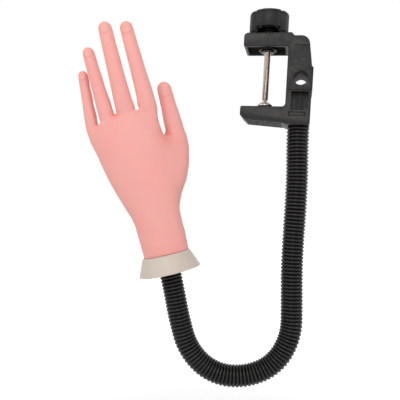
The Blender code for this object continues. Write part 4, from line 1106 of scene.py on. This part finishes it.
def palm_creases(points, normals):
    """How far the palm's lines press the skin in, and the painted shade of deeper pink in the
    lines and the webs.
    """
    move = np.zeros(len(points))
    fold_shade = np.zeros(len(points))
    palmar = smoothstep(normals[:, 1] * 2)
    flat = points[:, [0, 2]]
    for line in PALM_LINES:
        at = np.linspace(0, len(line) - 1, PALM_LINE_POINTS)
        dense = np.stack([np.interp(at, range(len(line)), column) for column in zip(*line)], -1)
        nearest = np.ones(len(points))
        for start, end in zip(dense, dense[1:]):
            step = end - start
            t = np.clip(((flat - start) @ step) / (step @ step), 0, 1)
            gap = flat - (start + t[:, None] * step)
            nearest = np.minimum(nearest, np.hypot(gap[:, 0], gap[:, 1]))
        groove = bump(nearest, PALM_LINE_WIDTH) * palmar
        move -= PALM_LINE_DEPTH * groove
        fold_shade = np.maximum(fold_shade, PALM_LINE_SHADE * groove)
    # Painted shade, deeper pink, in the webs between the digits and in the web of the thumb
    shaded_webs = [(web[:3], WEB_STRETCH, WEB_SHADE_REACH, WEB_SHADE) for web in WEBS]
    shaded_webs.append((THUMB_WEB, THUMB_STRETCH, THUMB_SHADE_REACH, THUMB_SHADE))
    for place, stretch, reach, share in shaded_webs:
        gap = np.linalg.norm((points - np.array(place)) / stretch, axis=1)
        fold_shade = np.maximum(fold_shade, share * bump(gap, reach))
    return move, fold_shade


def sink_webs(points):
    """Rounds the bottom of the slot between each two neighbouring digits."""
    for (x, _, z, *_), depth in zip(WEBS, WEB_SINKS):
        near = smoothstep((points[:, 2] - z) / WEB_SINK_REACH + 1)
        points[:, 2] -= depth * bump(points[:, 0] - x, WEB_SINK_WIDTH) * near


def fit_to_digit(digit, points):
    """Draws the palm's skin near a seam onto the digit's own surface. Returns the moved points."""
    local = carried(points, digit.local.inverted())
    height = local[:, 2]
    centre, half_x, half_y = digit.sections(np.clip(height, 0.0, digit.seam + SEAM_MARGIN))
    dx, dy = local[:, 0], local[:, 1] - centre
    beside = smoothstep((np.abs(dx) / half_x - BESIDE_START) / BESIDE_FADE)
    beside = beside * np.isin(np.sign(dx), WEB_SIDES[digit.name])
    reach = SEAM_REACH + (WEB_REACH - SEAM_REACH) * beside
    size = np.abs(dx / half_x) ** SQUARENESS + np.abs(dy / half_y) ** SQUARENESS
    size = np.maximum(size ** (1 / SQUARENESS), TINY)
    inner = dx / size
    flare = digit.flare(height, inner, half_x)
    weight = smoothstep((height - digit.seam) / reach + 1)
    weight = weight * (1 - smoothstep((np.abs(dx) - half_x - flare - SIDE_MARGIN) / SIDE_FADE))
    weight *= 1 - smoothstep((np.abs(dy) - half_y - DEPTH_MARGIN) / DEPTH_FADE)
    weight = np.where(size > CORE_SHARE, weight, 0.0)
    target = np.stack([inner + np.sign(dx) * flare, dy / size + centre, height], -1)
    return carried(local + (target - local) * weight[:, None], digit.local)


def cut_off(bm, geom, place, direction):
    """Cuts away what lies beyond a plane in a direction."""
    bmesh.ops.bisect_plane(bm, geom=geom, plane_co=place, plane_no=direction, clear_outer=True)


def cut_stub(bm, digit):
    """Cuts a digit's foot off square at its seam."""
    inverse = digit.local.inverted()
    half_x = digit.half_width * CUT_WIDTH_SHARE
    half_y = digit.half_thickness * CUT_THICKNESS_SHARE
    faces = []
    for face in bm.faces:
        x, y, z = inverse @ face.calc_center_median()
        if z > digit.seam - CUT_MARGIN and abs(x) < half_x and abs(y) < half_y:
            faces.append(face)
    # Keys keep their order, as a set would not, so that each run gives the same mesh
    edges = dict.fromkeys(edge for face in faces for edge in face.edges)
    verts = dict.fromkeys(vert for face in faces for vert in face.verts)
    seam = digit.local @ Vector((0.0, 0.0, digit.seam))
    along = digit.local.to_3x3() @ Vector((0.0, 0.0, 1.0))
    cut_off(bm, [*verts, *edges, *faces], seam, along)


def build_palm(digits, finish, hand):
    """The palm's skin, with its creases, fitted to the digits and cut off at their seams."""
    mesh = palm_body(digits)
    points = np.array([v.co[:] for v in mesh.vertices])
    normals = np.array([v.normal[:] for v in mesh.vertices])
    move, fold_shade = palm_creases(points, normals)
    points += normals * move[:, None]
    sink_webs(points)
    for digit in digits:
        points = fit_to_digit(digit, points)
    mesh.vertices.foreach_set("co", points.astype(np.float32).ravel())
    # The painted shade of the folds, for the finish
    set_values(mesh, "fold_shade", fold_shade)
    mesh.update()

    bm = bmesh.new()
    bm.from_mesh(mesh)
    for digit in digits:
        cut_stub(bm, digit)
    everything = bm.verts[:] + bm.edges[:] + bm.faces[:]
    cut_off(bm, everything, (0.0, 0.0, WRIST_FOOT), (0.0, 0.0, -1.0))
    rim = [e for e in bm.edges if e.is_boundary and e.verts[0].co.z < WRIST_FOOT + RIM_REACH]
    bmesh.ops.contextual_create(bm, geom=rim)
    bm.to_mesh(mesh)
    bm.free()
    mesh.shade_smooth()
    sharpen(mesh, 50)
    palm = add_piece(mesh, finish, hand)
    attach(palm, "hand")
    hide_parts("palm")


def wire_mesh(name, points):
    frames = []
    for k, point in enumerate(points):
        along = (points[min(k + 1, len(points) - 1)] - points[max(k - 1, 0)]).normalized()
        side = Vector((0.0, 1.0, 0.0)).cross(along).normalized()
        frames.append(axes_frame(side, along.cross(side), along, point))
    return grid_mesh(name, tube_rings(frames, [WIRE_RADIUS] * len(frames), WIRE_SIDES))


def build_digit(digit, finish, steel, hand, place):
    """A digit's two lengths of skin, each running across one joint, and its wire in two lengths."""
    wire_end = digit.length * WIRE_END_SHARE
    foot_nodes, end_nodes = ("knuckle_skin", "lower"), ("lower", "joint_skin", "tip")
    spans = (
        ("foot", digit.seam, digit.parting, KNUCKLE_OFFSET, "hand", "base", foot_nodes),
        ("end", digit.parting, digit.length, digit.middle, "base", "end", end_nodes),
    )
    start = Vector(((place - 2) * WIRE_SPACING, 0.0, SPIGOT_TOP + ANCHOR_HEIGHT + 2 * FIT_GAP))
    route = digit.wire_route(start)
    inverse = digit.local.inverted()
    parting = min(range(len(route)), key=lambda k: abs((inverse @ route[k]).z - digit.parting))
    wires = {"foot": route[: parting + 1], "end": route[parting:]}
    for label, low, high, joint, before, after, nodes in spans:
        rings, nail, fold_shade, loop = digit.skin(low, high, wire_end)
        mesh = grid_mesh(f"{digit.name}_skin_{label}", rings, loop=loop)
        set_values(mesh, "nail", nail)
        # The painted shade of the folds, for the finish
        set_values(mesh, "fold_shade", fold_shade)
        sharpen(mesh, 60)
        piece = add_piece(mesh, finish, digit.world)
        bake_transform(piece)
        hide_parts(*(f"{digit.name}_{node}" for node in nodes))

        wire = add_piece(wire_mesh(f"{digit.name}_wire_{label}", wires[label]), steel, hand)
        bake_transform(wire)
        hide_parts(f"{digit.name}_wire")


def build_hand(skin, steel, hand):
    digits = [Digit(name, hand) for name in DIGITS]
    build_palm(digits, skin, hand)
    for place, digit in enumerate(digits):
        build_digit(digit, skin, steel, hand, place)


# Studio


def build_camera():
    """The camera looks square onto the arm's plane, and is rolled as the photograph is."""
    camera = link_object("camera", bpy.data.cameras.new("camera"))
    camera.data.lens = CAMERA_LENS
    camera.data.sensor_width = CAMERA_SENSOR
    camera.data.clip_start = CAMERA_NEAR
    right = Vector((math.cos(ARM_YAW), math.sin(ARM_YAW), 0.0))
    up = Vector((0.0, 0.0, 1.0))
    x = right * math.cos(CAMERA_ROLL) + up * math.sin(CAMERA_ROLL)
    y = up * math.cos(CAMERA_ROLL) - right * math.sin(CAMERA_ROLL)
    camera.matrix_world = axes_frame(x, y, x.cross(y), CAMERA_PLACE)
    bpy.context.scene.camera = camera


def seen_directly(tree):
    """1 for what the camera, a reflection or clear glass shows, and 0 for the light that it gives."""
    path = add_node(tree, "LightPath", {})
    total = path.outputs["Is Camera Ray"]
    for kind in ("Is Glossy Ray", "Is Transmission Ray"):
        larger = add_node(tree, "Math", {0: total, 1: path.outputs[kind]}, operation="MAXIMUM")
        total = larger.outputs[0]
    return total


def build_floor():
    """A pale floor that runs out to white, with the object's shadow on it."""
    mesh = bpy.data.meshes.new("floor")
    square = ((-1, -1), (1, -1), (1, 1), (-1, 1))
    corners = [(x * FLOOR_SIZE, y * FLOOR_SIZE, FLOOR_HEIGHT) for x, y in square]
    mesh.from_pydata(corners, [], [(0, 1, 2, 3)])
    floor = link_object("floor", mesh)
    material = bpy.data.materials.new("pale_floor")
    material.use_nodes = True
    tree = material.node_tree
    shader = tree.nodes["Principled BSDF"]
    feed(tree, shader.inputs["Base Color"], FLOOR_COLOUR)
    feed(tree, shader.inputs["Roughness"], FLOOR_ROUGHNESS)
    feed(tree, shader.inputs["Specular IOR Level"], 0.0)
    place = add_node(tree, "TexCoord", {}).outputs["Object"]
    length = add_node(tree, "VectorMath", {0: place}, operation="LENGTH").outputs["Value"]
    near_and_far = {"From Min": FLOOR_GLOW_START, "From Max": FLOOR_GLOW_END}
    glows = {"To Min": FLOOR_GLOW, "To Max": 1.0, "Value": length}
    fade = add_node(tree, "MapRange", near_and_far | glows).outputs["Result"]
    strength = add_node(tree, "Math", {0: fade, 1: seen_directly(tree)}, operation="MULTIPLY")
    glow = add_node(tree, "Emission", {"Strength": strength.outputs[0]})
    both = add_node(tree, "AddShader", {0: shader.outputs["BSDF"], 1: glow.outputs["Emission"]})
    feed(tree, tree.nodes["Material Output"].inputs["Surface"], both.outputs["Shader"])
    mesh.materials.append(material)


def build_world():
    """White all round where it is seen directly, and dimmer as a light."""
    world = bpy.data.worlds.new("studio")
    bpy.context.scene.world = world
    world.use_nodes = True
    tree = world.node_tree
    light = tree.nodes["Background"]
    feed(tree, light.inputs["Color"], WHITE)
    feed(tree, light.inputs["Strength"], WORLD_LIGHT)
    seen = add_node(tree, "Background", {"Color": WHITE, "Strength": 1.0})
    shaders = {1: light.outputs["Background"], 2: seen.outputs["Background"]}
    mixer = add_node(tree, "MixShader", {"Fac": seen_directly(tree)} | shaders)
    feed(tree, tree.nodes["World Output"].inputs["Surface"], mixer.outputs["Shader"])


def add_light(name, place, size, power):
    data = bpy.data.lights.new(name, "AREA")
    data.shape = "RECTANGLE"
    data.size, data.size_y = size
    data.energy = power
    light = link_object(name, data)
    light.location = place
    direction = Vector(LIGHT_TARGET) - Vector(place)
    light.rotation_euler = direction.to_track_quat("-Z", "Y").to_euler()


def build_studio():
    build_camera()
    build_floor()
    build_world()
    for light in LIGHTS:
        add_light(*light)
    bpy.context.scene.view_settings.view_transform = "Standard"


black, sleeve, beige, skin = black_plastic(), hose_black(), beige_plastic(), pink_rubber()
steel = plated_steel()
hand_place = route_frame(HOSE_LENGTH)
build_studio()
build_clamp(black, steel)
build_arm(sleeve, steel)
build_wrist(beige, steel, hand_place)
build_hand(skin, steel, hand_place)
